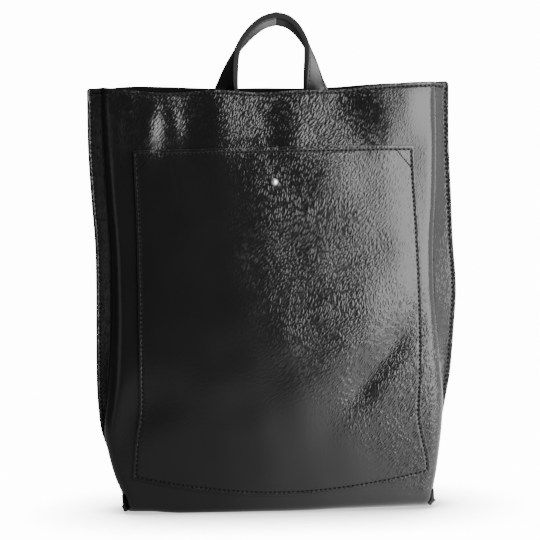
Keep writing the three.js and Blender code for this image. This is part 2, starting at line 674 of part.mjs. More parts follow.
/** A shoulder strap, sewn to the back panel at its top end and its foot. */
function shoulderStrap(side) {
  const stations = [];
  const spanOut = STRAP_FOOT_HALF_SPAN - STRAP_TOP_HALF_SPAN;
  const down = STRAP_TOP - STRAP_FOOT;
  const across = new THREE.Vector3(down, 0, side * spanOut).normalize();
  for (let i = 0; i <= BAND_STEPS; i += 1) {
    const run = i / BAND_STEPS;
    const x = side * (STRAP_TOP_HALF_SPAN + spanOut * run);
    const z = STRAP_TOP - down * run;
    const spots = [-1, 0, 1].map((share) => faceDepth(BACK, x + share * STRAP_WIDTH / 2, z));
    const off = readTable(STRAP_RUN, 'run', 'off', run) * STRAP_BOW;
    const seat = Math.max(...spots) + LEATHER / 2 + CLEARANCE * 2;
    stations.push({
      place: new THREE.Vector3(x, seat + STRAP_THICKNESS / 2 + Math.max(off, 0), z),
      across,
    });
  }
  return band(stations, STRAP_WIDTH, STRAP_THICKNESS);
}

/** A panel with its half of both bottom corner seams. */
function panel(face) {
  return panelWall(face).add(ear(face, -1)).add(ear(face, 1));
}

const bag = new THREE.Group();

/** Add a named piece with its own material to the bag. */
function addPiece(name, geometry, finish) {
  const piece = new THREE.Mesh(geometry, new THREE.MeshStandardMaterial(finish));
  piece.name = name;
  bag.add(piece);
}

const frontPanel = panel(FRONT).add(baseSheet()).subtract(studBore(STUD_NECK_RADIUS + CLEARANCE));
addPiece('front_panel', geometryOf(frontPanel), leather);
addPiece('back_panel', geometryOf(panel(BACK)), leather);
addPiece('front_pocket', geometryOf(pocket()), leather);
addPiece('pocket_stud', geometryOf(stud()), polishedMetal);
addPiece('handle', handle(), strapLeather);
addPiece('shoulder_strap_left', shoulderStrap(-1), strapLeather);
addPiece('shoulder_strap_right', shoulderStrap(1), strapLeather);

export default bag;
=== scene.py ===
"""A convertible leather backpack: its finished surfaces, stitches, studio and camera.

The bag stands on the floor with its front toward -Y. The surfaces are worked out in metres
from the same named sizes and tables as the solids that they stand for, only finer, and they
have a few folds and creases more.
"""

import logging
import math
from dataclasses import dataclass, field
from enum import Enum
from typing import Any

import bpy
import numpy as np
from mathutils import Matrix, Vector


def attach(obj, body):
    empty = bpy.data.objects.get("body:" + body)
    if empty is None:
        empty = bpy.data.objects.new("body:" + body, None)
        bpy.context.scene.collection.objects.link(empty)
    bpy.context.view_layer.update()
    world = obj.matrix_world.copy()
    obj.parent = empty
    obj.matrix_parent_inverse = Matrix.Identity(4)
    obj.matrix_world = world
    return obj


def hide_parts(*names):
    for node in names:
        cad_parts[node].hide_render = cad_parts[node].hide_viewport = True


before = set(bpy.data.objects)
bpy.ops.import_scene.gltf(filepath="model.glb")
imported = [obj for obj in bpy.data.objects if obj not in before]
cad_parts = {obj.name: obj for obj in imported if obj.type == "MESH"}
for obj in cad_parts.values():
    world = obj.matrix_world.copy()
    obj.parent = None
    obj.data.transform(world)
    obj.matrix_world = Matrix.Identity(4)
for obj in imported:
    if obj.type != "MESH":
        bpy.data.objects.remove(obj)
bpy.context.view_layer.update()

log = logging.getLogger("backpack")
MM = 0.001
BODY = "root"
Array = np.ndarray


class SmoothTable:
    """A table with named columns, read on a smooth curve through its rows."""

    def __init__(self, key: str, columns: tuple[str, ...], rows: list[tuple[float, ...]]) -> None:
        """Keep the columns as arrays.

        Args:
            key: the name of the first column, which the table is read by.
            columns: the names of the other columns, in order.
            rows: one tuple a row, the key's value first.
        """
        values = np.array(rows, dtype=float).T
        self.key = key
        self.at = values[0]
        self.columns = dict(zip(columns, values[1:]))

    def read(self, column: str, at: Array) -> Array:
        """A column at some places: a cubic through each pair of rows, whose slope at a row is
        that of the line between the rows on either side of it.

        Args:
            column: the column's name.
            at: the key's values to read it at, of any shape.

        Returns:
            The column's values there, of the same shape.
        """
        rows, last = self.at, len(self.at) - 1
        values = self.columns[column]
        before = np.maximum(np.arange(last + 1) - 1, 0)
        after = np.minimum(np.arange(last + 1) + 1, last)
        slopes = (values[after] - values[before]) / (rows[after] - rows[before])
        place = np.clip(at, rows[0], rows[last])
        i = np.clip(np.searchsorted(rows, place, side="left") - 1, 0, last - 1)
        span = rows[i + 1] - rows[i]
        t = (place - rows[i]) / span
        rest = 1 - t
        return (
            values[i] * (1 + 2 * t) * rest**2
            + values[i + 1] * t**2 * (3 - 2 * t)
            + slopes[i] * span * t * rest**2
            - slopes[i + 1] * span * t**2 * rest
        )


# Plan sections by height, as shares of the bag's named sizes: a tip is the raw edge of a side
# seam, a fold is where a face turns round into the side, and rounds are shares of the depth.
SECTIONS = SmoothTable(
    "rise",
    ("tip_left", "tip_right", "fold_left", "fold_right", "depth", "swell", "round_left", "round_right"),
    [
        (0.000, 0.859, 0.829, 0.836, 0.807, 1.00, 0.25, 0.50, 0.35),
        (0.030, 0.868, 0.838, 0.845, 0.816, 0.99, 0.38, 0.50, 0.35),
        (0.084, 0.910, 0.856, 0.895, 0.842, 0.95, 0.58, 0.52, 0.38),
        (0.142, 0.947, 0.874, 0.931, 0.863, 0.93, 0.75, 0.55, 0.40),
        (0.190, 0.981, 0.891, 0.950, 0.878, 0.91, 0.86, 0.60, 0.42),
        (0.255, 0.997, 0.922, 0.937, 0.889, 0.88, 0.94, 0.66, 0.44),
        (0.313, 1.001, 0.948, 0.926, 0.884, 0.86, 1.00, 0.70, 0.46),
        (0.426, 0.998, 0.975, 0.907, 0.867, 0.82, 1.05, 0.72, 0.46),
        (0.510, 0.994, 0.990, 0.901, 0.857, 0.78, 1.08, 0.72, 0.46),
        (0.626, 0.994, 0.978, 0.901, 0.861, 0.74, 1.06, 0.72, 0.46),
        (0.740, 1.010, 0.973, 0.914, 0.878, 0.70, 0.95, 0.70, 0.46),
        (0.853, 1.022, 0.967, 0.926, 0.886, 0.64, 0.75, 0.68, 0.46),
        (1.000, 1.022, 0.973, 0.932, 0.890, 0.56, 0.45, 0.66, 0.44),
    ],
)
POCKET_EDGES = SmoothTable(
    "rise",
    ("left", "right"),
    [
        (0.00, 1.045, 1.060),
        (0.05, 1.034, 1.053),
        (0.12, 1.018, 1.020),
        (0.17, 0.997, 1.002),
        (0.22, 0.985, 1.004),
        (0.30, 0.982, 1.020),
        (0.52, 0.979, 1.029),
        (0.75, 0.981, 1.015),
        (0.91, 0.990, 0.998),
        (1.00, 0.994, 0.995),
    ],
)
HANDLE_LEG = SmoothTable(
    "run",
    ("rise", "reach", "turn"),
    [
        (0.000, -0.95, 1.000, 90),
        (0.113, -0.70, 1.000, 90),
        (0.234, -0.43, 1.000, 90),
        (0.339, -0.20, 0.965, 70),
        (0.430, 0.00, 0.918, 46),
        (0.522, 0.20, 0.868, 31),
        (0.605, 0.38, 0.815, 19),
        (0.681, 0.54, 0.744, 10),
        (0.762, 0.70, 0.612, 4),
        (0.842, 0.84, 0.450, 1),
        (0.922, 0.95, 0.245, 0),
        (1.000, 1.00, 0.000, 0),
    ],
)
STRAP_RUN = SmoothTable(
    "run",
    ("off",),
    [
        (0.00, 0.00),
        (0.10, 0.00),
        (0.18, 0.16),
        (0.30, 0.62),
        (0.42, 0.93),
        (0.54, 1.00),
        (0.66, 0.86),
        (0.78, 0.50),
        (0.87, 0.12),
        (0.92, 0.00),
        (1.00, 0.00),
    ],
)
# How far each panel's hem dips, as shares of the sag, and how far the base's front edge lifts
# off the floor, as shares of the lift. across is a share of the half width.
HEM = SmoothTable(
    "across",
    ("front", "back"),
    [
        (-1.00, 0.00, 0.00),
        (-0.82, 0.42, -0.38),
        (-0.60, 0.94, -0.32),
        (-0.30, 0.80, -0.03),
        (-0.07, 1.14, 0.00),
        (0.16, 0.97, 0.12),
        (0.37, 0.98, 0.07),
        (0.57, 0.63, -0.15),
        (0.75, 0.38, -0.20),
        (0.88, 0.26, -0.08),
        (1.00, 0.00, 0.00),
    ],
)
FRONT_EDGE = SmoothTable(
    "across",
    ("lift",),
    [
        (-0.80, 0.95),
        (-0.69, 0.75),
        (-0.62, 0.30),
        (-0.54, 0.00),
        (0.05, 0.00),
        (0.30, 0.40),
        (0.50, 0.66),
        (0.80, 1.00),
    ],
)


@dataclass(frozen=True)
class Fold:
    """A soft fold or dent: a bump on a face that fades like a bell curve.

    across and rise place its middle as shares of the half width and the height, wide and long
    are its half sizes as the same shares, turn is its slant from upright in degrees, and out
    is its height as a share of the bag's fold relief.
    """

    across: float
    rise: float
    wide: float
    long: float
    turn: float
    out: float


FRONT_FOLDS = (
    Fold(-0.72, 0.88, 0.10, 0.09, 12, 0.90),
    Fold(-0.46, 0.93, 0.10, 0.10, 4, -0.60),
    Fold(-0.29, 0.93, 0.10, 0.09, -4, 0.80),
    Fold(-0.02, 0.94, 0.10, 0.08, -4, -0.50),
    Fold(0.10, 0.87, 0.08, 0.07, -6, 0.50),
    Fold(0.36, 0.93, 0.12, 0.09, -12, -0.50),
    Fold(0.56, 0.95, 0.10, 0.09, -12, 0.40),
    Fold(-0.86, 0.70, 0.12, 0.22, -4, -0.40),
    Fold(0.53, 0.33, 0.10, 0.17, 38, -0.60),
    Fold(0.34, 0.38, 0.13, 0.18, 32, 0.40),
    Fold(-0.80, 0.21, 0.14, 0.12, 30, -0.60),
    Fold(-0.88, 0.27, 0.08, 0.10, 24, 0.40),
)
BACK_FOLDS = (
    Fold(-0.50, 0.86, 0.16, 0.16, 10, 0.50),
    Fold(0.52, 0.84, 0.15, 0.18, -12, -0.50),
    Fold(-0.62, 0.24, 0.16, 0.16, -30, -0.60),
    Fold(0.64, 0.26, 0.15, 0.18, 26, 0.50),
)
# Folds of the front that only the finished surface has, because they steer its highlights.
FINE_FOLDS = (
    Fold(0.77, 0.97, 0.09, 0.07, 0, 0.50),
    Fold(-0.665, 0.895, 0.055, 0.065, 6, 0.72),
    Fold(-0.53, 0.91, 0.04, 0.06, -4, 0.42),
    Fold(-0.78, 0.93, 0.04, 0.05, 4, 0.40),
    Fold(0.27, 0.77, 0.13, 0.07, 0, 0.70),
    Fold(0.67, 0.95, 0.15, 0.075, 0, 1.10),
)


@dataclass(frozen=True)
class BagSizes:
    """The driving sizes of the bag, in metres."""

    height: float = 380 * MM
    half_width: float = 163.5 * MM
    half_depth: float = 25 * MM
    face_swell: float = 9 * MM
    fold_relief: float = 3 * MM
    hide_ripple: float = 0.35 * MM
    leather: float = 1.8 * MM
    clearance: float = 0.3 * MM
    seam_allowance: float = 4.7 * MM
    seam_bend: float = 2.6 * MM
    hem_width: float = 12 * MM
    hem_sag: float = 8.4 * MM
    base_radius: float = 8 * MM
    base_side_share: float = 0.12
    base_lift: float = 3.3 * MM
    lift_height: float = 60 * MM
    flat_share: float = 0.25
    lip_height: float = 14 * MM
    corner_radius: float = 3 * MM
    ear_root: float = 16.5 * MM
    ear_reach: float = 2.9 * MM
    ear_tip: float = 6.6 * MM
    ear_foot: float = 2.4 * MM
    stitch_pitch: float = 4 * MM
    thread_radius: float = 0.62 * MM
    pocket_half_width: float = 124.6 * MM
    pocket_top: float = 320.6 * MM
    pocket_bottom: float = 15.4 * MM
    pocket_corner_rise: float = 16.6 * MM
    pocket_leather: float = 1.6 * MM
    pocket_gap: float = 0.4 * MM
    pocket_slack: float = 2.4 * MM
    pocket_curve: float = 1.8
    stud_drop: float = 31 * MM
    stud_ball: float = 3.4 * MM
    stud_neck: float = 1.6 * MM
    stud_hole: float = 2.3 * MM

    @property
    def seam_offset(self) -> float:
        """Distance of a seam allowance's middle layer from the plane of the side seams."""
        return (self.leather + self.clearance) / 2

    @property
    def hem_start(self) -> float:
        """Height where the doubled hem starts."""
        return self.height - self.hem_width

    @property
    def pocket_width(self) -> float:
        """The pocket's width, which its table's shares multiply."""
        return 2 * self.pocket_half_width

    @property
    def pocket_height(self) -> float:
        """The pocket's height in the middle."""
        return self.pocket_top - self.pocket_bottom

    @property
    def stud_height(self) -> float:
        """Height of the stud's axis."""
        return self.pocket_top - self.stud_drop


BAG = BagSizes()


def ripple(x: Array, z: Array) -> Array:
    """Broad, faint unevenness of the hide: five slow waves that cross at different angles.

    Args:
        x: places across, in metres.
        z: heights, in metres.

    Returns:
        A height between about -1 and 1.
    """
    total = np.zeros(np.broadcast(x, z).shape)
    waves = ((0.61, 71, 0.4), (1.35, 52, 1.9), (2.2, 43, 3.1), (2.8, 63, 5.0), (0.15, 37, 2.2))
    for angle, length, start in waves:
        along = (x * math.cos(angle) + z * math.sin(angle)) / (length * MM)
        total = total + np.sin(2 * math.pi * along + start) / len(waves)
    return total


@dataclass(frozen=True)
class Patch:
    """A patch of the hide whose grain differs: a bell curve of an even power.

    across and rise place its middle and wide and long are its half sizes, as shares of the
    half width and the height. amount is what it adds to the grain.
    """

    across: float
    rise: float
    wide: float
    long: float
    power: int
    amount: float

    def at(self, across: Array, rise: Array) -> Array:
        """What the patch adds at places that are given as the same shares."""
        flat = ((across - self.across) / self.wide) ** self.power
        upright = ((rise - self.rise) / self.long) ** self.power
        return self.amount * np.exp(-flat - upright)


# The grain's step across: its place at the top, how far it moves to the right and over which
# heights, its width, and the least and most grain.
STEP_START, STEP_SHIFT, STEP_TOP, STEP_FALL, STEP_WIDTH = -0.39, 0.64, 0.60, 0.47, 0.42
LEAST_GRAIN, MOST_GRAIN = 0.12, 1.2
ROUGH_PATCH = Patch(-0.55, 0.93, 0.50, 0.13, 2, 0.90)
CALM_PATCH = Patch(0.80, 0.74, 0.27, 0.30, 4, -0.75)


def grained(x: Array, z: Array) -> Array:
    """How much the grain stands out: a smooth step across, whose place moves to the right
    toward the base, with a patch below the hem on the left, less a calm patch on the right.

    Args:
        x: places across, in metres.
        z: heights, in metres.

    Returns:
        A share between 0 and about 1.
    """
    across, rise = x / BAG.half_width, z / BAG.height
    start = STEP_START + STEP_SHIFT * np.clip((STEP_TOP - rise) / STEP_FALL, 0, 1.2) ** 1.5
    t = np.clip((across - start) / STEP_WIDTH, 0, 1)
    grain = LEAST_GRAIN + (1 - LEAST_GRAIN) * t**2 * (3 - 2 * t)
    grain = grain + ROUGH_PATCH.at(across, rise) + CALM_PATCH.at(across, rise)
    return np.clip(grain, 0, MOST_GRAIN)


@dataclass(frozen=True)
class Face:
    """One face of the bag, with its half of both sides.

    toward is -1 for the front and 1 for the back, swell_share how much of the face's swell it
    has, turn_under how much of the base's round edge, hem its column of the hem's table, and
    lift how far its lower edge lifts.
    """

    toward: int
    folds: tuple[Fold, ...]
    swell_share: float
    turn_under: float
    hem: str
    lift: float

    def base_inset(self, z: Array) -> Array:
        """How far the base's round edge draws the section in: a quarter circle by height."""
        below = 1 - np.clip((z - BAG.leather / 2) / BAG.base_radius, 0, 1)
        return BAG.base_radius * (1 - np.sqrt(1 - below**2))

    def sizes(self, left: Array, z: Array) -> dict[str, Array]:
        """The sizes of the plan section at some heights.

        Args:
            left: true where the left side's columns of the table count.
            z: heights, in metres.

        Returns:
            The root and tip of the seam allowance, the fold, the depth, the radius of the
            fold and the swell of the face, by name.
        """
        share = z / BAG.height
        inset = self.base_inset(z)

        def side(name: str) -> Array:
            """The left or right column of a pair, whichever counts."""
            columns = [SECTIONS.read(f"{name}_{word}", share) for word in ("left", "right")]
            return np.where(left, *columns)

        tip = side("tip") * BAG.half_width - inset * BAG.base_side_share
        depth = SECTIONS.read("depth", share) * BAG.half_depth - inset * self.turn_under
        return {
            "tip": tip,
            "root": tip - BAG.seam_allowance,
            "fold": side("fold") * BAG.half_width - inset * BAG.base_side_share,
            "depth": depth,
            "round": side("round") * depth,
            "swell": SECTIONS.read("swell", share) * BAG.face_swell * self.swell_share,
        }

    def relief(self, x: Array, z: Array) -> Array:
        """Height of the soft folds: the sum of their bell curves, and the hide's unevenness."""
        height = np.zeros(np.broadcast(x, z).shape)
        for fold in self.folds:
            dx = x - fold.across * BAG.half_width
            dz = z - fold.rise * BAG.height
            cos, sin = math.cos(math.radians(fold.turn)), math.sin(math.radians(fold.turn))
            across = (dx * cos - dz * sin) / (fold.wide * BAG.half_width)
            along = (dx * sin + dz * cos) / (fold.long * BAG.height)
            height = height + fold.out * np.exp(-(across**2) - along**2)
        return height * BAG.fold_relief + ripple(x, z) * BAG.hide_ripple

    def depth(self, x: Array, z: Array) -> Array:
        """Distance of the face's middle layer from the plane of the side seams: the section's
        depth, bowed out as a parabola, raised by the folds and rounded off at the fold."""
        size = self.sizes(x < 0, z)
        share = x / size["fold"]
        past = np.clip((np.abs(x) - size["fold"] + size["round"]) / size["round"], 0, 1)
        turned = size["round"] * (1 - np.sqrt(1 - past**2))
        bowed = size["swell"] * (1 - share**2)
        return size["depth"] + bowed + self.relief(x, z) * (1 - past) - turned

    def drop(self, x: Array, depth: Array, z: Array) -> Array:
        """How much a point moves down: the hem's dip, growing as a square toward the top, less
        the lift of the lower edge, which fades as a square with height."""
        across = x / BAG.half_width
        up = np.maximum((z - BAG.pocket_top) / (BAG.height - BAG.pocket_top), 0)
        low = np.maximum(1 - z / BAG.lift_height, 0)
        out = np.clip((depth / BAG.half_depth - BAG.flat_share) / (1 - BAG.flat_share), 0, 1)
        lift = np.maximum(FRONT_EDGE.read("lift", across), 0) * self.lift * low**2 * out
        return HEM.read(self.hem, across) * BAG.hem_sag * up**2 - lift

    def on_face(self, x: Array, z: Array, off: float) -> tuple[Array, Array]:
        """Points over the face's middle layer and its normals there.

        Args:
            x: places across, in metres.
            z: heights, in metres.
            off: distance outward from the middle layer.

        Returns:
            Points and unit normals, with a last axis of three.
        """
        step = 0.5 * MM
        depth = self.depth(x, z)
        dx = (self.depth(x + step, z) - self.depth(x - step, z)) / (2 * step)
        dz = (self.depth(x, z + step) - self.depth(x, z - step)) / (2 * step)
        normal = unit(np.stack([-dx, np.full_like(dx, self.toward), -dz], axis=-1))
        point = np.stack([x, self.toward * depth, z - self.drop(x, depth, z)], axis=-1)
        return point + normal * off, normal


FRONT = Face(-1, FRONT_FOLDS + FINE_FOLDS, 1.0, 1, "front", BAG.base_lift)
BACK = Face(1, BACK_FOLDS, 0.7, 0, "back", 0.0)


def unit(vectors: Array) -> Array:
    """Vectors of length one in the same directions."""
    return vectors / np.maximum(np.linalg.norm(vectors, axis=-1, keepdims=True), 1e-12)


def grid_normals(grid: Array) -> Array:
    """Unit normals of a grid of points: the direction across times the direction up."""
    return unit(np.cross(np.gradient(grid, axis=1), np.gradient(grid, axis=0)))


def edge_steps(length: float, inner: float, fine: Array) -> Array:
    """Distances along a stretch with a cut edge at both ends.

    Args:
        length: the stretch, in metres.
        inner: the spacing in the middle.
        fine: distances from an edge that get a line of their own.

    Returns:
        Distances from 0 to length, fine near both ends and even between them.
    """
    count = max(int((length - 2 * fine[-1]) / inner), 1)
    middle = np.linspace(fine[-1], length - fine[-1], count + 1)[1:-1]
    return np.concatenate([fine, middle, (length - fine)[::-1]])


EDGE_ROUND = 0.5 * MM
EDGE_PAINT = 0.45 * MM
EDGE_LINES = np.array([0, 0.08, 0.24, 0.5, 1.1, 1.9, 2.6, 3.1, 3.5, 3.9, 4.4, 5.2, 6.4]) * MM


def edge_share(distance: Array) -> Array:
    """How much of its thickness leather has near a cut edge: a quarter circle."""
    near = 1 - np.clip(distance / EDGE_ROUND, 0, 1)
    return 0.25 + 0.75 * np.sqrt(1 - near**2)


def painted_share(distance: Array) -> Array:
    """How much of the edge's paint shows by the distance from a cut edge."""
    return np.clip(1 - distance / EDGE_PAINT, 0, 1)


def groove(distance: Array, width: float = 0.9 * MM) -> Array:
    """A stitch groove by the distance from its line, or the gathers beside a seam: a bell
    curve, 1 on the line."""
    return np.exp(-((distance / width) ** 2))


def tube_grid(stations: int, sides: int) -> tuple[Array, Array, Array]:
    """The vertices of a tube by ring and place round it, the next vertex round the ring of
    each, and the faces between the rings."""
    at = np.arange(stations * sides).reshape(stations, sides)
    ahead = np.roll(at, -1, axis=1)
    quads = np.stack([at[:-1], ahead[:-1], ahead[1:], at[1:]], axis=-1).reshape(-1, 4)
    return at, ahead, quads


MARKS = ("edge", "inside", "sewn", "puckered", "grained")
Marks = dict[str, Array]


@dataclass
class MeshParts:
    """Vertices and faces of closed shells that make one piece, with marks at each vertex.

    The marks run from 0 to 1: edge on cut edges, inside on the flesh side of the leather,
    sewn where thread has drawn a groove, puckered where a seam gathers the leather, and
    grained where the hide's grain stands out.
    """

    points: list[Array] = field(default_factory=list)
    quads: list[Array] = field(default_factory=list)
    corners: list[Array] = field(default_factory=list)
    marks: list[Marks] = field(default_factory=list)
    count: int = 0

    def add(self, points: Array, quads: Array, corners: Array, marks: Marks) -> None:
        """Add a shell.

        Args:
            points: its vertices.
            quads: its faces with four corners, as places in points.
            corners: its faces with three corners.
            marks: the marks of its vertices, by name. One that is left out is 0.
        """
        self.points.append(points)
        self.quads.append(quads + self.count)
        self.corners.append(corners + self.count)
        blank = np.zeros(len(points))
        self.marks.append({name: marks.get(name, blank) for name in MARKS})
        self.count += len(points)

    def wall(self, outer: Array, inner: Array, marks: Marks) -> None:
        """Add a closed wall between two grids of points.

        Args:
            outer: the grid of the outer side.
            inner: the grid of the inner side, of the same size.
            marks: the marks of the grid's points, by name. All but edge hold outside only.
        """
        rows, columns = outer.shape[:2]
        at = np.arange(rows * columns).reshape(rows, columns)
        back = at + rows * columns

        def strip(a: Array, b: Array, c: Array, d: Array) -> Array:
            """Faces between four arrays of corners."""
            return np.stack([a, b, c, d], axis=-1).reshape(-1, 4)

        quads = np.concatenate([
            strip(at[:-1, :-1], at[:-1, 1:], at[1:, 1:], at[1:, :-1]),
            strip(back[:-1, :-1], back[1:, :-1], back[1:, 1:], back[:-1, 1:]),
            strip(at[:-1, 0], at[1:, 0], back[1:, 0], back[:-1, 0]),
            strip(at[:-1, -1], back[:-1, -1], back[1:, -1], at[1:, -1]),
            strip(at[0, :-1], back[0, :-1], back[0, 1:], at[0, 1:]),
            strip(at[-1, :-1], at[-1, 1:], back[-1, 1:], back[-1, :-1]),
        ])
        points = np.concatenate([outer.reshape(-1, 3), inner.reshape(-1, 3)])
        both = {name: np.outer([1, name == "edge"], mark).ravel() for name, mark in marks.items()}
        both["inside"] = np.repeat([0.0, 1.0], rows * columns)
        self.add(points, quads, np.empty((0, 3), int), both)

    def tube(self, rings: Array, marks: Marks) -> None:
        """Add a closed tube through rings of points, with flat ends.

        Args:
            rings: points by ring and by place round it, right-handed along the rings.
            marks: the marks round a ring, by name.
        """
        stations, sides = rings.shape[:2]
        at, ahead, quads = tube_grid(stations, sides)
        middle = np.array([rings[0].mean(axis=0), rings[-1].mean(axis=0)])
        first, last = stations * sides, stations * sides + 1
        caps = np.concatenate([
            np.stack([np.full(sides, first), ahead[0], at[0]], axis=-1),
            np.stack([np.full(sides, last), at[-1], ahead[-1]], axis=-1),
        ])
        points = np.concatenate([rings.reshape(-1, 3), middle])
        along = {name: np.append(np.tile(mark, stations), [0, 0]) for name, mark in marks.items()}
        self.add(points, quads, caps, along)

    def build(self, name: str) -> bpy.types.Object:
        """Make the piece's object, smooth shaded, with its marks as attributes.

        Args:
            name: the piece's name.

        Returns:
            The new object, linked to the scene.
        """
        points = np.concatenate(self.points)
        quads = np.concatenate(self.quads)
        corners = np.concatenate(self.corners)
        mesh = bpy.data.meshes.new(name)
        loops = np.concatenate([quads.ravel(), corners.ravel()]).astype(np.int32)
        totals = np.concatenate([np.full(len(quads), 4), np.full(len(corners), 3)])
        mesh.vertices.add(len(points))
        mesh.vertices.foreach_set("co", points.astype(np.float32).ravel())
        mesh.loops.add(len(loops))
        mesh.loops.foreach_set("vertex_index", loops)
        mesh.polygons.add(len(totals))
        mesh.polygons.foreach_set("loop_start", (np.cumsum(totals) - totals).astype(np.int32))
        mesh.polygons.foreach_set("loop_total", totals.astype(np.int32))
        mesh.polygons.foreach_set("use_smooth", np.ones(len(totals), bool))
        for mark in MARKS:
            layer = mesh.attributes.new(mark, "FLOAT", "POINT")
            values = np.concatenate([marks[mark] for marks in self.marks])
            layer.data.foreach_set("value", values.astype(np.float32))
        mesh.update(calc_edges=True)
        mesh.validate()
        piece = bpy.data.objects.new(name, mesh)
        bpy.context.scene.collection.objects.link(piece)
        return piece


class Thread:
    """Stitches: short lengths of thread that rise from the leather and dive back into it.

    GAP is the share of the pitch between two stitches. BOW and SUNK are how high a stitch
    rises and how deep its ends lie, and TAPER is its radius by station, as shares of the
    thread's radius.
    """

    SIDES = 6
    GAP = 0.40
    BOW = 1.2
    SUNK = 0.75
    TAPER = (0.55, 1.0, 1.1, 1.0, 0.55)

    def __init__(self, name: str) -> None:
        """Start an empty set of stitches for one piece."""
        self.name = name
        self.parts = MeshParts()

    def run(self, path: Array, normals: Array, pitch: float = BAG.stitch_pitch) -> None:
        """Add a row of stitches. Each is a bow: at share s of its length it stands
        sin(pi s) of its rise above its ends, and its section is a small circle.

        Args:
            path: points along the row, on the leather's surface.
            normals: the surface's unit normals there.
            pitch: the distance from stitch to stitch.
        """
        steps = np.linalg.norm(np.diff(path, axis=0), axis=1)
        lengths = np.concatenate([[0], np.cumsum(steps)])
        count = max(int(round(lengths[-1] / pitch)), 1)
        share = np.linspace(0, 1, len(self.TAPER))
        starts = np.arange(count)[:, None]
        along = (starts + self.GAP / 2 + share * (1 - self.GAP)) * lengths[-1] / count
        place = np.stack([np.interp(along, lengths, path[:, k]) for k in range(3)], axis=-1)
        normal = unit(np.stack([np.interp(along, lengths, normals[:, k]) for k in range(3)], axis=-1))
        radius = BAG.thread_radius
        rise = (np.sin(math.pi * share) * self.BOW - self.SUNK) * radius
        place = place + normal * rise[None, :, None]
        forward = unit(np.gradient(place, axis=1))
        side = unit(np.cross(forward, normal))
        up = np.cross(side, forward)
        angle = np.arange(self.SIDES) * 2 * math.pi / self.SIDES
        taper = np.array(self.TAPER) * radius
        ring = (
            side[:, :, None] * np.cos(angle)[None, None, :, None]
            + up[:, :, None] * np.sin(angle)[None, None, :, None]
        )
        rings = place[:, :, None] + ring * taper[None, :, None, None]
        self._add(rings[:, :, ::-1])

    def _add(self, rings: Array) -> None:
        """Add many short tubes at once, given as stitches, stations, sides and coordinates."""
        stitches, stations, sides = rings.shape[:3]
        size = stations * sides
        quads = tube_grid(stations, sides)[2]
        fan = np.arange(1, sides - 1)
        first = np.stack([np.zeros(sides - 2, int), fan + 1, fan], axis=-1)
        last = np.stack([np.zeros(sides - 2, int), fan, fan + 1], axis=-1) + size - sides
        caps = np.concatenate([first, last])
        offset = np.arange(stitches)[:, None, None] * size
        points = rings.reshape(-1, 3)
        every_quad = (quads[None] + offset).reshape(-1, 4)
        self.parts.add(points, every_quad, (caps[None] + offset).reshape(-1, 3), {})

    def build(self) -> bpy.types.Object:
        """Make the object that holds every stitch of the set."""
        return self.parts.build(self.name)


class Value:
    """A shader socket that takes part in Python arithmetic."""

    def __init__(self, graph: "Graph", socket: bpy.types.NodeSocket) -> None:
        """Wrap an output socket of a graph's node."""
        self.graph = graph
        self.socket = socket

    def math(self, operation: str, *others: "Value | float", flipped: bool = False) -> "Value":
        """This value and others through a Math node.

        Args:
            operation: the Math node's operation.
            others: the other values, in order.
            flipped: true where this value comes second.

        Returns:
            The node's result.
        """
        terms = [*others, self] if flipped else [self, *others]
        node = self.graph.node("ShaderNodeMath", {"operation": operation}, dict(enumerate(terms)))
        return Value(self.graph, node.outputs[0])

    def __add__(self, other: "Value | float") -> "Value":
        """Sum."""
        return self.math("ADD", other)

    __radd__ = __add__

    def __sub__(self, other: "Value | float") -> "Value":
        """Difference."""
        return self.math("SUBTRACT", other)

    def __rsub__(self, other: float) -> "Value":
        """Difference with a number first."""
        return self.math("SUBTRACT", other, flipped=True)

    def __mul__(self, other: "Value | float") -> "Value":
        """Product."""
        return self.math("MULTIPLY", other)

    __rmul__ = __mul__

    def __truediv__(self, other: "Value | float") -> "Value":
        """Quotient."""
        return self.math("DIVIDE", other)

    def __pow__(self, other: "Value | float") -> "Value":
        """Power."""
        return self.math("POWER", other)

    def smooth(self, low: float, high: float) -> "Value":
        """0 below low, 1 above high and a smooth step between them."""
        node = self.graph.node(
            "ShaderNodeMapRange",
            {"interpolation_type": "SMOOTHSTEP"},
            {"Value": self, "From Min": low, "From Max": high},
        )
        return Value(self.graph, node.outputs["Result"])


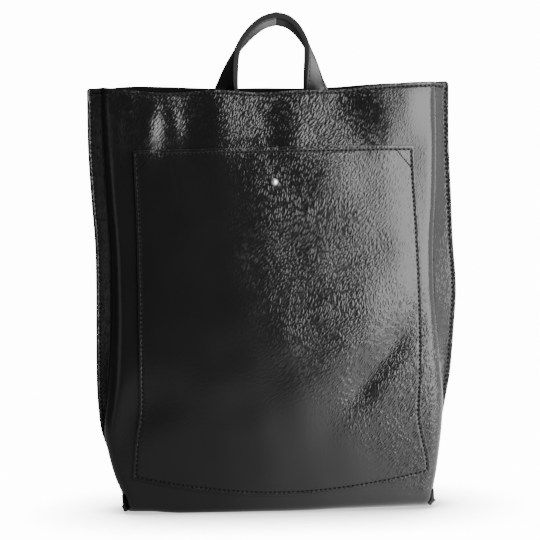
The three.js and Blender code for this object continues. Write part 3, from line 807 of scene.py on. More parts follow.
class Graph:
    """The node graph of one material or world."""

    def __init__(self, owner: bpy.types.Material | bpy.types.World) -> None:
        """Start with an empty graph for a new material or world."""
        owner.use_nodes = True
        self.owner = owner
        self.tree = owner.node_tree
        self.tree.nodes.clear()

    def node(self, kind: str, settings: dict[str, Any], inputs: dict[Any, Any]) -> bpy.types.Node:
        """Add a node.

        Args:
            kind: the node's type.
            settings: its settings, which are set first.
            inputs: what goes into its sockets, by name or place: a plain value, a Value, or a
                node, whose first output counts.

        Returns:
            The node.
        """
        node = self.tree.nodes.new(kind)
        for name, value in settings.items():
            setattr(node, name, value)
        for name, value in inputs.items():
            socket = node.inputs[name]
            if isinstance(value, Value):
                self.tree.links.new(value.socket, socket)
            elif isinstance(value, bpy.types.Node):
                self.tree.links.new(value.outputs[0], socket)
            else:
                socket.default_value = value
        return node

    def read(self, kind: str, output: str, settings: dict[str, Any], inputs: dict[Any, Any]) -> Value:
        """Add a node and take one of its outputs."""
        return Value(self, self.node(kind, settings, inputs).outputs[output])

    def seen(self) -> Value:
        """1 where the camera looks straight at it, and 0 for reflections and soft light."""
        return self.read("ShaderNodeLightPath", "Is Camera Ray", {}, {})

    def place(self) -> Value:
        """Object coordinates, in metres."""
        return self.read("ShaderNodeTexCoord", "Object", {}, {})

    def mark(self, name: str) -> Value:
        """A number kept at each vertex, by its attribute's name."""
        return self.read("ShaderNodeAttribute", "Fac", {"attribute_name": name}, {})

    def noise(self, place: Value, size: float, detail: float = 2, rough: float = 0.5) -> Value:
        """Noise whose lumps have about a given size, in metres."""
        inputs = {"Vector": place, "Scale": 1 / size, "Detail": detail, "Roughness": rough}
        return self.read("ShaderNodeTexNoise", "Fac", {}, inputs)

    def stretched(self, place: Value, turn: float, stretch: tuple[float, float, float]) -> Value:
        """Places turned about Y and then scaled along each axis.

        Args:
            place: the places.
            turn: the turn, in degrees.
            stretch: the scale along X, Y and Z after the turn.

        Returns:
            The new places.
        """
        inputs = {"Vector": place, "Rotation": (0, math.radians(turn), 0)}
        turned = self.read("ShaderNodeMapping", "Vector", {"vector_type": "POINT"}, inputs)
        return self.read("ShaderNodeMapping", "Vector", {}, {"Vector": turned, "Scale": stretch})

    def warped(self, place: Value, size: float, amount: float) -> Value:
        """Places pushed about by a noise, so that a pattern on them isn't regular."""
        inputs = {"Vector": place, "Scale": 1 / size, "Detail": 2.0}
        push = {0: self.read("ShaderNodeTexNoise", "Color", {}, inputs), "Scale": amount}
        scaled = self.read("ShaderNodeVectorMath", "Vector", {"operation": "SCALE"}, push)
        return self.read("ShaderNodeVectorMath", "Vector", {"operation": "ADD"}, {0: place, 1: scaled})

    def blend(self, share: "Value | float", first: Any, second: Any) -> Value:
        """Two colours mixed by a share."""
        first, second = (c if isinstance(c, Value) else (*c, 1) for c in (first, second))
        inputs = {"Factor": share, 6: first, 7: second}
        return Value(self, self.node("ShaderNodeMix", {"data_type": "RGBA"}, inputs).outputs[2])

    def bump(self, height: Value, depth: float, below: "Value | None" = None) -> Value:
        """A normal from a height between 0 and 1, as deep as given, in metres."""
        inputs = {"Height": height, "Distance": depth, "Strength": 1.0}
        if below is not None:
            inputs["Normal"] = below
        return self.read("ShaderNodeBump", "Normal", {}, inputs)

    def surface(self, inputs: dict[str, Any]) -> bpy.types.Node:
        """The shader of a solid surface, with some of its inputs."""
        return self.node("ShaderNodeBsdfPrincipled", {}, inputs)

    def finish(self, shader: bpy.types.Node, output: str = "ShaderNodeOutputMaterial") -> Any:
        """Send a shader to the surface, and give back the material or world."""
        self.node(output, {}, {"Surface": shader})
        return self.owner


@dataclass(frozen=True)
class Leather:
    """Black pebbled leather, with painted cut edges and a rough flesh side.

    cell is the width of a pebble and stretch how many times longer than wide it is. The leans
    are those of the pebbles and of the creases that cross them, in degrees, and crease_cells
    is a crease's spacing in pebbles. The depths are those of the pebbles and the finest pores.
    """

    name: str
    colour: tuple[float, float, float] = (0.0050, 0.0050, 0.0052)
    warm: tuple[float, float, float] = (0.0085, 0.0082, 0.0078)
    flesh: tuple[float, float, float] = (0.005, 0.005, 0.005)
    paint: tuple[float, float, float] = (0.006, 0.006, 0.007)
    # Painted shade: the colour of the stitch grooves, darker than the skin, stands in for shade in them.
    groove: tuple[float, float, float] = (0.0015, 0.0015, 0.0016)
    roughness: float = 0.21
    cell: float = 2.2 * MM
    stretch: float = 2.8
    pebble_lean: float = -28
    crease_lean: float = 40
    crease_cells: float = 2.2
    grain_depth: float = 0.17 * MM
    pore_depth: float = 0.015 * MM

    def cracks(self, graph: Graph, place: Value, turn: float, cell: float) -> Value:
        """Distance to the nearest crack of a net of long cells that lean by a turn, as a
        share of a cell's width."""
        leaning = graph.stretched(place, turn, (1.0, 1.0, 1 / self.stretch))
        settings, inputs = {"feature": "DISTANCE_TO_EDGE"}, {"Vector": leaning, "Scale": 1 / cell}
        return graph.read("ShaderNodeTexVoronoi", "Distance", settings, inputs)

    def build(self) -> bpy.types.Material:
        """Make the material: long pebbles that lean one way, crossed by wider creases that
        lean the other way. Their places are pushed about by a slow noise, so that they lean
        differently from place to place."""
        graph = Graph(bpy.data.materials.new(self.name))
        place = graph.place()
        edge, inside, sewn = graph.mark("edge"), graph.mark("inside"), graph.mark("sewn")
        swayed = graph.warped(graph.warped(place, 95 * MM, 40 * MM), 4 * self.cell, 0.6 * self.cell)
        pebbles = self.cracks(graph, swayed, self.pebble_lean, self.cell)
        lines = self.cracks(graph, swayed, self.crease_lean, self.crease_cells * self.cell)
        net = pebbles.smooth(0.0, 0.34) * (lines.smooth(0.0, 0.12) * 0.6 + 0.4)
        fine = graph.noise(place, 0.8 * MM, 3, 0.6)
        lumps = graph.noise(swayed, self.crease_cells * self.cell, 1)
        where = graph.mark("grained") + graph.mark("puckered") * 1.1
        skin = (1 - edge) * (1 - inside) * (1 - sewn * 0.7)
        height = (net + lumps * 0.15) * skin * where + graph.noise(place, 0.5 * MM, 3) * inside
        grain = graph.bump(height, self.grain_depth)
        pored = graph.bump(fine, self.pore_depth, grain)
        tone = graph.blend(graph.noise(place, 40 * MM, 3), self.colour, self.warm)
        painted = graph.blend(edge, tone, self.paint)
        # Painted shade: the stitch grooves get the darker groove colour.
        drawn = graph.blend(sewn, painted, self.groove)
        sheen = self.roughness + (fine - 0.5) * 0.06
        rough = sheen + sewn * 0.3 + edge * 0.55
        skin_side = graph.surface({
            "Base Color": drawn, "Roughness": rough, "Normal": pored, "Specular IOR Level": 0.5,
        })
        flesh_side = graph.surface({
            "Base Color": (*self.flesh, 1), "Roughness": 0.8, "Normal": pored,
            "Specular IOR Level": 0.06,
        })
        sides = {0: inside * (1 - edge), 1: skin_side, 2: flesh_side}
        return graph.finish(graph.node("ShaderNodeMixShader", {}, sides))


@dataclass(frozen=True)
class WaxedThread:
    """Black waxed thread with a fine twist."""

    name: str = "waxed_thread"

    def build(self) -> bpy.types.Material:
        """Make the material: a twist in the bump and a slight change of tone."""
        graph = Graph(bpy.data.materials.new(self.name))
        place = graph.place()
        twist = graph.noise(place, 0.25 * MM, 2)
        tone = graph.blend(graph.noise(place, 6 * MM), (0.001, 0.001, 0.001), (0.002, 0.002, 0.002))
        normal = graph.bump(twist, 0.05 * MM)
        return graph.finish(graph.surface({
            "Base Color": tone, "Roughness": 0.75 + twist * 0.1, "Normal": normal,
            "Specular IOR Level": 0.15,
        }))


@dataclass(frozen=True)
class PolishedMetal:
    """Polished nickel, with faint handling marks."""

    name: str = "polished_nickel"

    def build(self) -> bpy.types.Material:
        """Make the material: roughness that varies a little."""
        graph = Graph(bpy.data.materials.new(self.name))
        marks = graph.noise(graph.place(), 0.6 * MM, 4, 0.7)
        tone = graph.blend(marks, (0.95, 0.95, 0.93), (0.85, 0.85, 0.84))
        return graph.finish(graph.surface({
            "Base Color": tone, "Roughness": 0.34 + marks * 0.10, "Metallic": 1.0,
        }))


class Finish(Enum):
    """The finishes of the bag."""

    BODY = Leather("pebbled_leather")
    STRAP = Leather("strap_leather", roughness=0.36, cell=1.7 * MM, grain_depth=0.10 * MM)
    THREAD = WaxedThread()
    METAL = PolishedMetal()


class Wardrobe:
    """Makes each finish once and dresses pieces in it."""

    def __init__(self) -> None:
        """Start with no materials made."""
        self.made: dict[Finish, bpy.types.Material] = {}

    def dress(self, piece: bpy.types.Object, finish: Finish, slot: str, *nodes: str) -> None:
        """Give a piece its finish, and its place in the frame.

        Args:
            piece: the object.
            finish: the finish that it gets.
            slot: the name of the record's material slot for the piece. It is not used.
            nodes: the solids that it stands for.
        """
        if finish not in self.made:
            self.made[finish] = finish.value.build()
        piece.data.materials.clear()
        piece.data.materials.append(self.made[finish])
        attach(piece, BODY)
        if nodes:
            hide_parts(*nodes)
        faces = sum(len(polygon.vertices) - 2 for polygon in piece.data.polygons)
        log.info("%s: %d triangles, %s", piece.name, faces, finish.name.lower())


@dataclass
class Panel:
    """One panel of the bag: a face, its half of both sides, and the seam allowances."""

    name: str
    face: Face
    node: str
    face_spacing: float = 2.4 * MM
    row_spacing: float = 2.4 * MM
    stitch_from_edge: float = 3.5 * MM
    hem_stitch: float = 4 * MM
    hem_from_edge: float = 7 * MM
    groove_depth: float = 0.45 * MM
    side_gather: float = 13 * MM
    hem_gather: float = 9 * MM

    def heights(self) -> Array:
        """Heights of the grid's rows: round the base edge, up the wall, fine at the hem."""
        foot = BAG.leather / 2
        turn = np.linspace(0, math.pi / 2, 9)[:-1]
        base = foot + BAG.base_radius * (1 - np.cos(turn))
        fold = BAG.hem_start
        count = int((fold - foot - BAG.base_radius) / self.row_spacing)
        wall = np.linspace(foot + BAG.base_radius, fold - 0.6 * MM, count)
        below_top = np.concatenate([[11.9, 11.4, 10, 8.6, 7.4], EDGE_LINES[::-1] / MM]) * MM
        return np.concatenate([base, wall, BAG.height - below_top])

    def side_columns(self, sign: int, z: Array) -> tuple[Array, Array, Array]:
        """Points of one side of the section at each height, from the raw edge inward.

        The seam allowance is straight, the bend at its root a quadratic curve, the side
        straight, and the fold a quarter circle.

        Args:
            sign: -1 for the left side, 1 for the right.
            z: heights, as a column.

        Returns:
            Places across, depths, and distances from the raw edge.
        """
        size = self.face.sizes(np.full_like(z, sign < 0, dtype=bool), z)
        ones = np.ones_like(z)
        lines = EDGE_LINES[EDGE_LINES < BAG.seam_allowance - BAG.seam_bend + 0.01 * MM]
        near_top = np.clip((z - BAG.height) / BAG.corner_radius + 1, 0, 1)
        rounded = BAG.corner_radius * (1 - np.sqrt(1 - near_top**2))
        flat_x = size["tip"] - lines - rounded * (1 - lines / lines[-1])
        flat_depth = np.full_like(flat_x, BAG.seam_offset)
        arc_depth = self.face.depth(sign * size["fold"], z)
        run = np.hypot(size["fold"] - size["root"], arc_depth - BAG.seam_offset)
        bend_x = size["root"] + (size["fold"] - size["root"]) / run * BAG.seam_bend
        bend_depth = BAG.seam_offset + (arc_depth - BAG.seam_offset) / run * BAG.seam_bend
        t = np.linspace(0, 1, 8)
        start_x = size["root"] + BAG.seam_bend
        curve_x = (1 - t) ** 2 * start_x + 2 * t * (1 - t) * size["root"] + t**2 * bend_x
        curve_depth = (1 - t**2) * BAG.seam_offset + t**2 * bend_depth
        u = np.linspace(0, 1, 9)[1:-1]
        side_x = bend_x + (size["fold"] - bend_x) * u
        side_depth = bend_depth + (arc_depth - bend_depth) * u
        angle = np.linspace(0, math.pi / 2, 12)
        arc_x = size["fold"] - size["round"] * (1 - np.cos(angle))
        arc = self.face.depth(sign * arc_x, z * np.ones_like(arc_x))
        across = np.concatenate([flat_x, curve_x, side_x, arc_x], axis=1)
        depth = np.concatenate([flat_depth, curve_depth, side_depth, arc], axis=1)
        steps = np.hypot(np.diff(across, axis=1), np.diff(depth, axis=1))
        distance = np.concatenate([0 * ones, np.cumsum(steps, axis=1)], axis=1)
        return sign * across, depth, distance

    def grid(self) -> tuple[Array, Array, Array]:
        """The middle layer as a grid, with distances from the raw side edge and the top."""
        z = self.heights()[:, None]
        left_x, left_depth, left_edge = self.side_columns(-1, z)
        right_x, right_depth, right_edge = self.side_columns(1, z)
        start, end = left_x[:, -1:], right_x[:, -1:]
        count = int(2 * BAG.half_width * 0.85 / self.face_spacing)
        share = np.linspace(0, 1, count + 1)[1:-1]
        middle_x = start + (end - start) * share
        middle_depth = self.face.depth(middle_x, z * np.ones_like(middle_x))
        x = np.concatenate([left_x, middle_x, right_x[:, ::-1]], axis=1)
        depth = np.concatenate([left_depth, middle_depth, right_depth[:, ::-1]], axis=1)
        far = np.full_like(middle_x, 1.0)
        edge = np.concatenate([left_edge, far, right_edge[:, ::-1]], axis=1)
        tall = z * np.ones_like(x)
        grid = np.stack([x, self.face.toward * depth, tall - self.face.drop(x, depth, tall)], axis=-1)
        top = BAG.height - tall
        if self.face.toward > 0:
            return grid[:, ::-1], edge[:, ::-1], top[:, ::-1]
        return grid, edge, top

    def build(self, wardrobe: Wardrobe) -> None:
        """Make the panel's wall and its rows of stitches.

        The outer side is the grid moved out by half the leather less the stitch grooves, the
        inner side the grid moved in by the rest, doubled along the hem.
        """
        grid, edge, top = self.grid()
        normals = grid_normals(grid)
        cut = np.minimum(edge, top)
        share = edge_share(cut)
        hem_groove = groove(top - self.hem_stitch) * (edge > BAG.seam_allowance)
        sunk = groove(edge - self.stitch_from_edge) + hem_groove
        outer = grid + normals * (BAG.leather / 2 * share - self.groove_depth * sunk)[..., None]
        hem = np.clip((BAG.hem_width - top) / (0.4 * MM), 0, 1)
        hem = hem * np.clip((edge - self.hem_from_edge) / (2 * MM), 0, 1)
        inner = grid - normals * ((BAG.leather / 2 + BAG.leather * hem) * share)[..., None]
        parts = MeshParts()
        marks = {
            "edge": painted_share(cut),
            "sewn": np.clip(sunk, 0, 1),
            "puckered": groove(edge, self.side_gather) + 0.6 * groove(top, self.hem_gather),
            "grained": grained(grid[..., 0], grid[..., 2]),
        }
        parts.wall(outer, inner, marks)
        for sign in (-1, 1):
            self.add_ear(parts, sign)
        panel = parts.build(self.name)
        wardrobe.dress(panel, Finish.BODY, "body_leather", self.node)
        self.sew(outer, normals, edge, top, wardrobe)

    def sew(self, outer: Array, normals: Array, edge: Array, top: Array, wardrobe: Wardrobe) -> None:
        """Add the stitches of the side seams and the hem, and those that a sub-class adds."""
        thread = Thread(f"{self.name}_stitches")
        rows = top[:, 0] > self.hem_stitch
        rows &= top[:, 0] < BAG.height - BAG.ear_root
        middle = outer.shape[1] // 2
        for half in (slice(None, middle), slice(middle, None)):
            away = np.abs(edge[len(edge) // 2, half] - self.stitch_from_edge)
            column = int(np.argmin(away)) + (half.start or 0)
            thread.run(outer[rows, column], normals[rows, column])
        row = int(np.argmin(np.abs(top[:, middle] - self.hem_stitch)))
        columns = edge[row] > BAG.seam_allowance * 0.9
        thread.run(outer[row, columns], normals[row, columns])
        self.sew_more(thread)
        wardrobe.dress(thread.build(), Finish.THREAD, "body_leather")

    def sew_more(self, thread: Thread) -> None:
        """Add further stitches to the panel. A plain panel has none."""

    def add_ear(self, parts: MeshParts, sign: int) -> None:
        """Add half of a bottom corner seam's allowance, folded down on the side: a wedge
        whose outer edge is round, carried along the base's side.

        Args:
            parts: the panel's mesh.
            sign: -1 for the left side, 1 for the right.
        """
        z = np.array([BAG.ear_root, BAG.ear_tip, BAG.ear_foot])
        size = self.face.sizes(np.full(3, sign < 0), z)
        wall, inside = size["fold"] + BAG.leather / 2, np.minimum(size["fold"], size["root"])
        angle = np.radians(np.linspace(100, -80, 9))
        half = BAG.leather / 2
        tip = np.stack([
            wall[1] + BAG.ear_reach - half * (1 - np.cos(angle)), BAG.ear_tip + half * np.sin(angle),
        ], axis=-1)
        profile = np.concatenate([
            [(inside[0], BAG.ear_root - BAG.leather), (wall[0], BAG.ear_root)], tip,
            [(wall[2] - half / 2, BAG.ear_foot), (inside[2], BAG.ear_foot)],
        ])
        length = size["depth"][0] - 2 * BAG.leather
        share = np.linspace(0, 1, 24)
        y = self.face.toward * (BAG.clearance / 2 + share * length)
        near = np.sqrt(1 - np.clip(share * 12 - 11, 0, 1) ** 2)
        wobble = near * (1 + 0.10 * np.sin(share * 7 + sign))
        across = inside[0] + (profile[:, 0] - inside[0])[None] * wobble[:, None]
        height = profile[:, 1][None] + 0 * wobble[:, None]
        rings = np.stack([sign * across, y[:, None] + 0 * across, height], axis=-1)
        if sign * self.face.toward > 0:
            rings = rings[:, ::-1]
        marks = np.zeros(len(profile))
        marks[2:-2] = 1
        parts.tube(rings, {"edge": marks, "puckered": np.full(len(profile), 0.5)})


@dataclass
class BackPanel(Panel):
    """The back panel, which also shows the stitches that hold the handle inside."""

    def sew_more(self, thread: Thread) -> None:
        """Add the stitched boxes that hold the handle's legs."""
        for sign in (-1, 1):
            middle = HANDLE.shift + sign * HANDLE.half_span
            x0, x1 = middle - 9 * MM, middle + 9 * MM
            for line in box_lines(x0, x1, BAG.height * 0.848, BAG.height * 0.918):
                points, normals = self.face.on_face(line[:, 0], line[:, 1], BAG.leather / 2)
                thread.run(points, normals)


def box_lines(x0: float, x1: float, z0: float, z1: float) -> list[Array]:
    """A stitched box with a cross in it, as lines of places across and heights.

    Args:
        x0: one side.
        x1: the other side.
        z0: the bottom.
        z1: the top.

    Returns:
        Six lines of points.
    """
    corners = [((x0, z0), (x1, z0)), ((x1, z0), (x1, z1)), ((x1, z1), (x0, z1)), ((x0, z1), (x0, z0))]
    corners += [((x0, z0), (x1, z1)), ((x1, z0), (x0, z1))]
    share = np.linspace(0, 1, 24)[:, None]
    return [np.array(a) * (1 - share) + np.array(b) * share for a, b in corners]


@dataclass
class BaseSheet:
    """The flat base and its lip, turned up inside the back panel."""

    name: str = "base_sheet"

    def build(self, wardrobe: Wardrobe) -> None:
        """Make the base as one wall: rows run from the front edge's underside to the rear,
        then up the lip."""
        half = BAG.leather / 2
        z_front = np.array([[half + BAG.base_radius * 0.02]])
        u = np.linspace(-1, 1, 121)[None]

        def reach(face: Face) -> Array:
            """How far a face reaches across at its foot, on the side that u is on."""
            sides = [face.sizes(np.array([[left]]), z_front)["fold"] for left in (True, False)]
            return np.where(u < 0, *sides)

        front_x, rear_x = u * (reach(FRONT) - half), u * (reach(BACK) - 1.5 * BAG.leather)
        front_y = -FRONT.depth(front_x, z_front * np.ones_like(front_x))
        rear_y = BACK.depth(rear_x, z_front * np.ones_like(rear_x)) - BAG.leather - BAG.clearance
        share = np.linspace(0, 1, 30)[:, None]
        x = front_x * (1 - share) + rear_x * share
        y = front_y * (1 - share) + (rear_y - half) * share
        drop = FRONT.drop(x, -y, half) * np.ones_like(x)
        flat = np.stack([x, y, half - drop], axis=-1)
        lip_z = np.linspace(0, 1, 10)[1:, None] * BAG.lip_height + half
        lip_x = rear_x * np.ones_like(lip_z)
        lip_y = BACK.depth(lip_x, lip_z * np.ones_like(lip_x)) - BAG.leather - BAG.clearance
        lip = np.stack([lip_x, lip_y, lip_z * np.ones_like(lip_x)], axis=-1)
        grid = np.concatenate([flat, lip])[:, ::-1]
        normals = grid_normals(grid)
        parts = MeshParts()
        edge = np.zeros(grid.shape[:2])
        edge[-1] = 1
        marks = {"edge": edge, "grained": np.full_like(edge, 0.6)}
        parts.wall(grid + normals * half, grid - normals * half, marks)
        wardrobe.dress(parts.build(self.name), Finish.BODY, "body_leather", "front_panel")


@dataclass(frozen=True)
class Crease:
    """A crease of the pocket, from one end to the other across and up, with its depth and
    half width, all in millimetres."""

    x0: float
    z0: float
    x1: float
    z1: float
    deep: float
    wide: float


CREASES = (
    Crease(-90.7, 314.0, -82.8, 273.0, 0.22, 1.0),
    Crease(-80.0, 313.0, -52.0, 288.0, 0.20, 1.0),
    Crease(-38.0, 240.0, -12.0, 186.0, 0.10, 1.2),
    Crease(58.0, 90.0, 114.0, 160.0, 0.50, 7.0),
)


@dataclass
class Pocket:
    """The front pocket: a sheet sewn on three sides, with a stud hole and a slit."""

    name: str = "front_pocket_leather"
    spacing: float = 1.8 * MM
    side_stitch: float = 3.1 * MM
    top_stitch: float = 3.9 * MM
    groove_depth: float = 0.40 * MM
    gather: float = 6 * MM
    slit: float = 5.2 * MM
    slit_half_width: float = 0.28 * MM
    patch: float = 13 * MM
    patch_longer: float = 4 * MM
    patch_pitch: float = 2 * MM

    def surface(self, u: Array, v: Array) -> tuple[Array, Array, Array]:
        """Places on the pocket's middle layer: u runs -1 to 1 across and v 0 to 1 up. The
        sides follow the table, and the bottom edge rises toward its corners as a power of u.

        Args:
            u: shares across.
            v: shares up.

        Returns:
            Places across, distances outward from the seams' plane, and heights.
        """
        side = np.where(u < 0, POCKET_EDGES.read("left", v), POCKET_EDGES.read("right", v))
        x = u * side * BAG.pocket_half_width
        curved = BAG.pocket_corner_rise * np.abs(u) ** BAG.pocket_curve * (1 - v)
        z = BAG.pocket_bottom + BAG.pocket_height * v + curved
        slack = BAG.pocket_slack * (1 - u**4) * v**2
        off = BAG.leather / 2 + BAG.pocket_gap + slack + BAG.pocket_leather / 2
        return x, FRONT.depth(x, z) + off + self.creases(x, z), z

    def creases(self, x: Array, z: Array) -> Array:
        """Sharp creases in the pocket's upper half and a broad one near its lower right
        corner: each is a valley along a line, with a softer ridge beside it, and it fades
        toward its ends."""
        height = np.zeros(np.broadcast(x, z).shape)
        for crease in CREASES:
            run = math.hypot(crease.x1 - crease.x0, crease.z1 - crease.z0)
            ax, az = (crease.x1 - crease.x0) / run, (crease.z1 - crease.z0) / run
            dx, dz = x / MM - crease.x0, z / MM - crease.z0
            along = (dx * ax + dz * az) / run
            across = (dx * az - dz * ax) / crease.wide
            fade = np.exp(-((np.clip(np.abs(along - 0.5) - 0.28, 0, 1) / 0.14) ** 2))
            valley = np.exp(-(across**2)) - 0.6 * np.exp(-((across - 2.2) ** 2) / 2)
            height = height - crease.deep * MM * valley * fade
        return height

    def stud_depth(self) -> float:
        """Distance of the pocket's middle layer from the seams' plane at the stud."""
        share = (BAG.stud_height - BAG.pocket_bottom) / BAG.pocket_height
        return float(self.surface(np.array(0.0), np.array(share))[1])

    def build(self, wardrobe: Wardrobe) -> None:
        """Make the pocket's wall, cut its hole and slit, and sew it on."""
        width, height = BAG.pocket_width, BAG.pocket_height
        across = edge_steps(width, self.spacing, EDGE_LINES)
        up = edge_steps(height, self.spacing, EDGE_LINES)
        u = np.broadcast_to(across / width * 2 - 1, (len(up), len(across)))
        v = np.broadcast_to((up / height)[:, None], u.shape)
        x, depth, z = self.surface(u, v)
        grid = np.stack([x, -depth, z], axis=-1)
        normals = grid_normals(grid)
        side = np.minimum(across, width - across)[None] * np.ones_like(u)
        foot, top = up[:, None] * np.ones_like(u), (height - up)[:, None] * np.ones_like(u)
        cut = np.minimum(np.minimum(side, foot), top)
        sides = np.minimum(side, foot)
        sewn = (sides > self.side_stitch - 1 * MM) & (top > self.top_stitch - 1 * MM)
        sunk = groove(sides - self.side_stitch) * (top > self.top_stitch)
        sunk = sunk + groove(top - self.top_stitch) * sewn
        half = BAG.pocket_leather / 2
        share = edge_share(cut)
        rolled = np.exp(-sides / (2.2 * MM)) * 0.10 * MM
        raised = half * share - self.groove_depth * np.clip(sunk, 0, 1) - rolled
        outer = grid + normals * raised[..., None]
        inner = grid - normals * (half * share)[..., None]
        parts = MeshParts()
        marks = {
            "edge": painted_share(cut),
            "sewn": np.clip(sunk, 0, 1),
            "puckered": 0.5 * groove(cut, self.gather),
            "grained": grained(x, z),
        }
        parts.wall(outer, inner, marks)
        pocket = parts.build(self.name)
        self.pierce(pocket)
        wardrobe.dress(pocket, Finish.BODY, "body_leather", "front_pocket")
        self.sew(outer, normals, side, foot, top, wardrobe)

    def pierce(self, pocket: bpy.types.Object) -> None:
        """Cut the stud's round hole and the slit below it."""
        z, depth = BAG.stud_height, self.stud_depth()
        angle = np.linspace(0, 2 * math.pi, 33)[:-1]
        lobe = np.stack([np.cos(angle), np.sin(angle)], axis=-1) * BAG.stud_hole
        lowest = lobe[:, 1] < -0.96 * BAG.stud_hole
        lobe[lowest, 1] = -BAG.stud_hole - self.slit
        lobe[lowest, 0] = np.clip(lobe[lowest, 0], -self.slit_half_width, self.slit_half_width)
        rings = np.stack([
            np.stack([lobe[:, 0], np.full(len(lobe), -depth + y), lobe[:, 1] + z], axis=-1)
            for y in (-6 * MM, 6 * MM)
        ])
        cutter_parts = MeshParts()
        cutter_parts.tube(rings[:, ::-1], {"edge": np.ones(len(lobe))})
        cutter = cutter_parts.build("stud_hole_cutter")
        cut = pocket.modifiers.new("hole", "BOOLEAN")
        cut.operation = "DIFFERENCE"
        cut.object = cutter
        cut.solver = "EXACT"
        bpy.context.view_layer.objects.active = pocket
        bpy.ops.object.modifier_apply(modifier=cut.name)
        bpy.data.objects.remove(cutter)

    def sew(
        self, outer: Array, normals: Array, side: Array, foot: Array, top: Array, wardrobe: Wardrobe,
    ) -> None:
        """Add the stitches round the pocket's sides and foot, along its top hem, and the
        triangle that strengthens each top corner."""
        thread = Thread("front_pocket_stitches")
        middle_row, middle = outer.shape[0] // 2, outer.shape[1] // 2
        column = int(np.argmin(np.abs(side[middle_row, :middle] - self.side_stitch)))
        row = int(np.argmin(np.abs(foot[:middle_row, middle] - self.side_stitch)))
        head = int(np.argmin(np.abs(top[:, middle] - self.top_stitch)))
        up = slice(row, head + 1)
        for k in (column, outer.shape[1] - 1 - column):
            thread.run(outer[up, k], normals[up, k])
        span = slice(column, outer.shape[1] - column)
        thread.run(outer[row, span], normals[row, span])
        thread.run(outer[head, span], normals[head, span])
        width, height = BAG.pocket_width, BAG.pocket_height
        for sign in (-1, 1):
            share = np.linspace(0, 1, 16)
            away = self.side_stitch + self.patch * (1 - share)
            below = self.top_stitch + (self.patch + self.patch_longer) * share
            u = sign * (1 - 2 * away / width)
            v = 1 - below / height
            x, depth, z = self.surface(u, v)
            points = np.stack([x, -depth - BAG.pocket_leather / 2, z], axis=-1)
            thread.run(points, np.tile([0.0, -1.0, 0.0], (len(points), 1)), self.patch_pitch)
        wardrobe.dress(thread.build(), Finish.THREAD, "body_leather")


@dataclass
class Strap:
    """A strap of folded leather with round edges and a row of stitches near each edge."""

    name: str
    node: str
    width: float
    thickness: float
    stitch_from_edge: float = 3 * MM
    dome: float = 0.35 * MM
    bend: float = 0.8 * MM
    groove_width: float = 0.6 * MM
    groove_depth: float = 0.35 * MM
    thread_sink: float = 0.35 * MM
    box_sink: float = 0.1 * MM

    @property
    def stitch_reach(self) -> float:
        """Distance of the edge stitches from the strap's middle line."""
        return self.width / 2 - self.stitch_from_edge

    @property
    def box_lift(self) -> float:
        """Height of the boxes' stitches above the strap's middle layer."""
        return self.thickness / 2 + self.dome - self.box_sink

    def profile(self) -> tuple[Array, Array, Array, Array]:
        """The section as places across, heights, edge marks and groove marks: flat with a
        slight dome, grooved at the stitches, and closed by quarter ellipses at the edges."""
        half, thick = self.width / 2, self.thickness / 2
        from_edge = np.concatenate([
            np.array([0, 0.02, 0.08, 0.2, 0.4, 0.7, 1.2, 1.9, 2.5, 2.8, 3.0, 3.2, 3.5, 4.0, 5.0]) * MM,
            np.linspace(6.5 * MM, half, 5),
        ])
        rest = half - from_edge
        near = 1 - np.clip(from_edge / self.bend, 0, 1)
        sunk = groove(from_edge - self.stitch_from_edge, self.groove_width)
        raised = thick * np.sqrt(1 - near**2) + self.dome * (1 - (rest / half) ** 2)
        raised = raised - self.groove_depth * sunk
        mark = np.clip(1.3 - from_edge / (0.6 * MM), 0, 1)

        def ring(values: Array, beyond: int = 1, beneath: int = 1) -> Array:
            """Values of a quarter of the section carried on round it, with the sign that
            they have beyond the middle and that of the underside."""
            top = np.concatenate([values, beyond * values[::-1][1:]])
            return np.concatenate([top, beneath * top[::-1][1:-1]])

        return ring(rest, beyond=-1), ring(raised, beneath=-1), ring(mark), ring(sunk)

    def stations(self) -> tuple[Array, Array]:
        """Places along the strap and directions across it. Each kind of strap has its own."""
        raise NotImplementedError

    def directions(self, places: Array, hints: Array) -> tuple[Array, Array]:
        """Directions across and out of the strap at each station, square to its run."""
        along = unit(np.gradient(places, axis=0))
        flat = unit(np.cross(along, hints))
        return np.cross(flat, along), flat

    def build(self, wardrobe: Wardrobe) -> None:
        """Make the strap by carrying its section along the stations, and sew its edges."""
        places, hints = self.stations()
        across, flat = self.directions(places, hints)
        wide, up, marks, grooves = self.profile()
        rings = places[:, None] + across[:, None] * wide[:, None] + flat[:, None] * up[:, None]
        parts = MeshParts()
        parts.tube(rings, {"edge": marks, "sewn": grooves, "grained": np.full(len(marks), 0.7)})
        wardrobe.dress(parts.build(self.name), Finish.STRAP, "strap_leather", self.node)
        thread = Thread(f"{self.name}_stitches")
        domed = self.dome * (1 - (self.stitch_reach / self.width * 2) ** 2)
        groove_up = self.thickness / 2 + domed - self.groove_depth - self.thread_sink
        ends = slice(3, -3)
        for side in (-1, 1):
            for face in (-1, 1):
                line = places + across * side * self.stitch_reach + flat * face * groove_up
                thread.run(line[ends], flat[ends] * face)
        self.sew_more(thread, places, across, flat)
        wardrobe.dress(thread.build(), Finish.THREAD, "strap_leather")

    def sew_more(self, thread: Thread, places: Array, across: Array, flat: Array) -> None:
        """Add further stitches to the strap. A plain strap has none."""


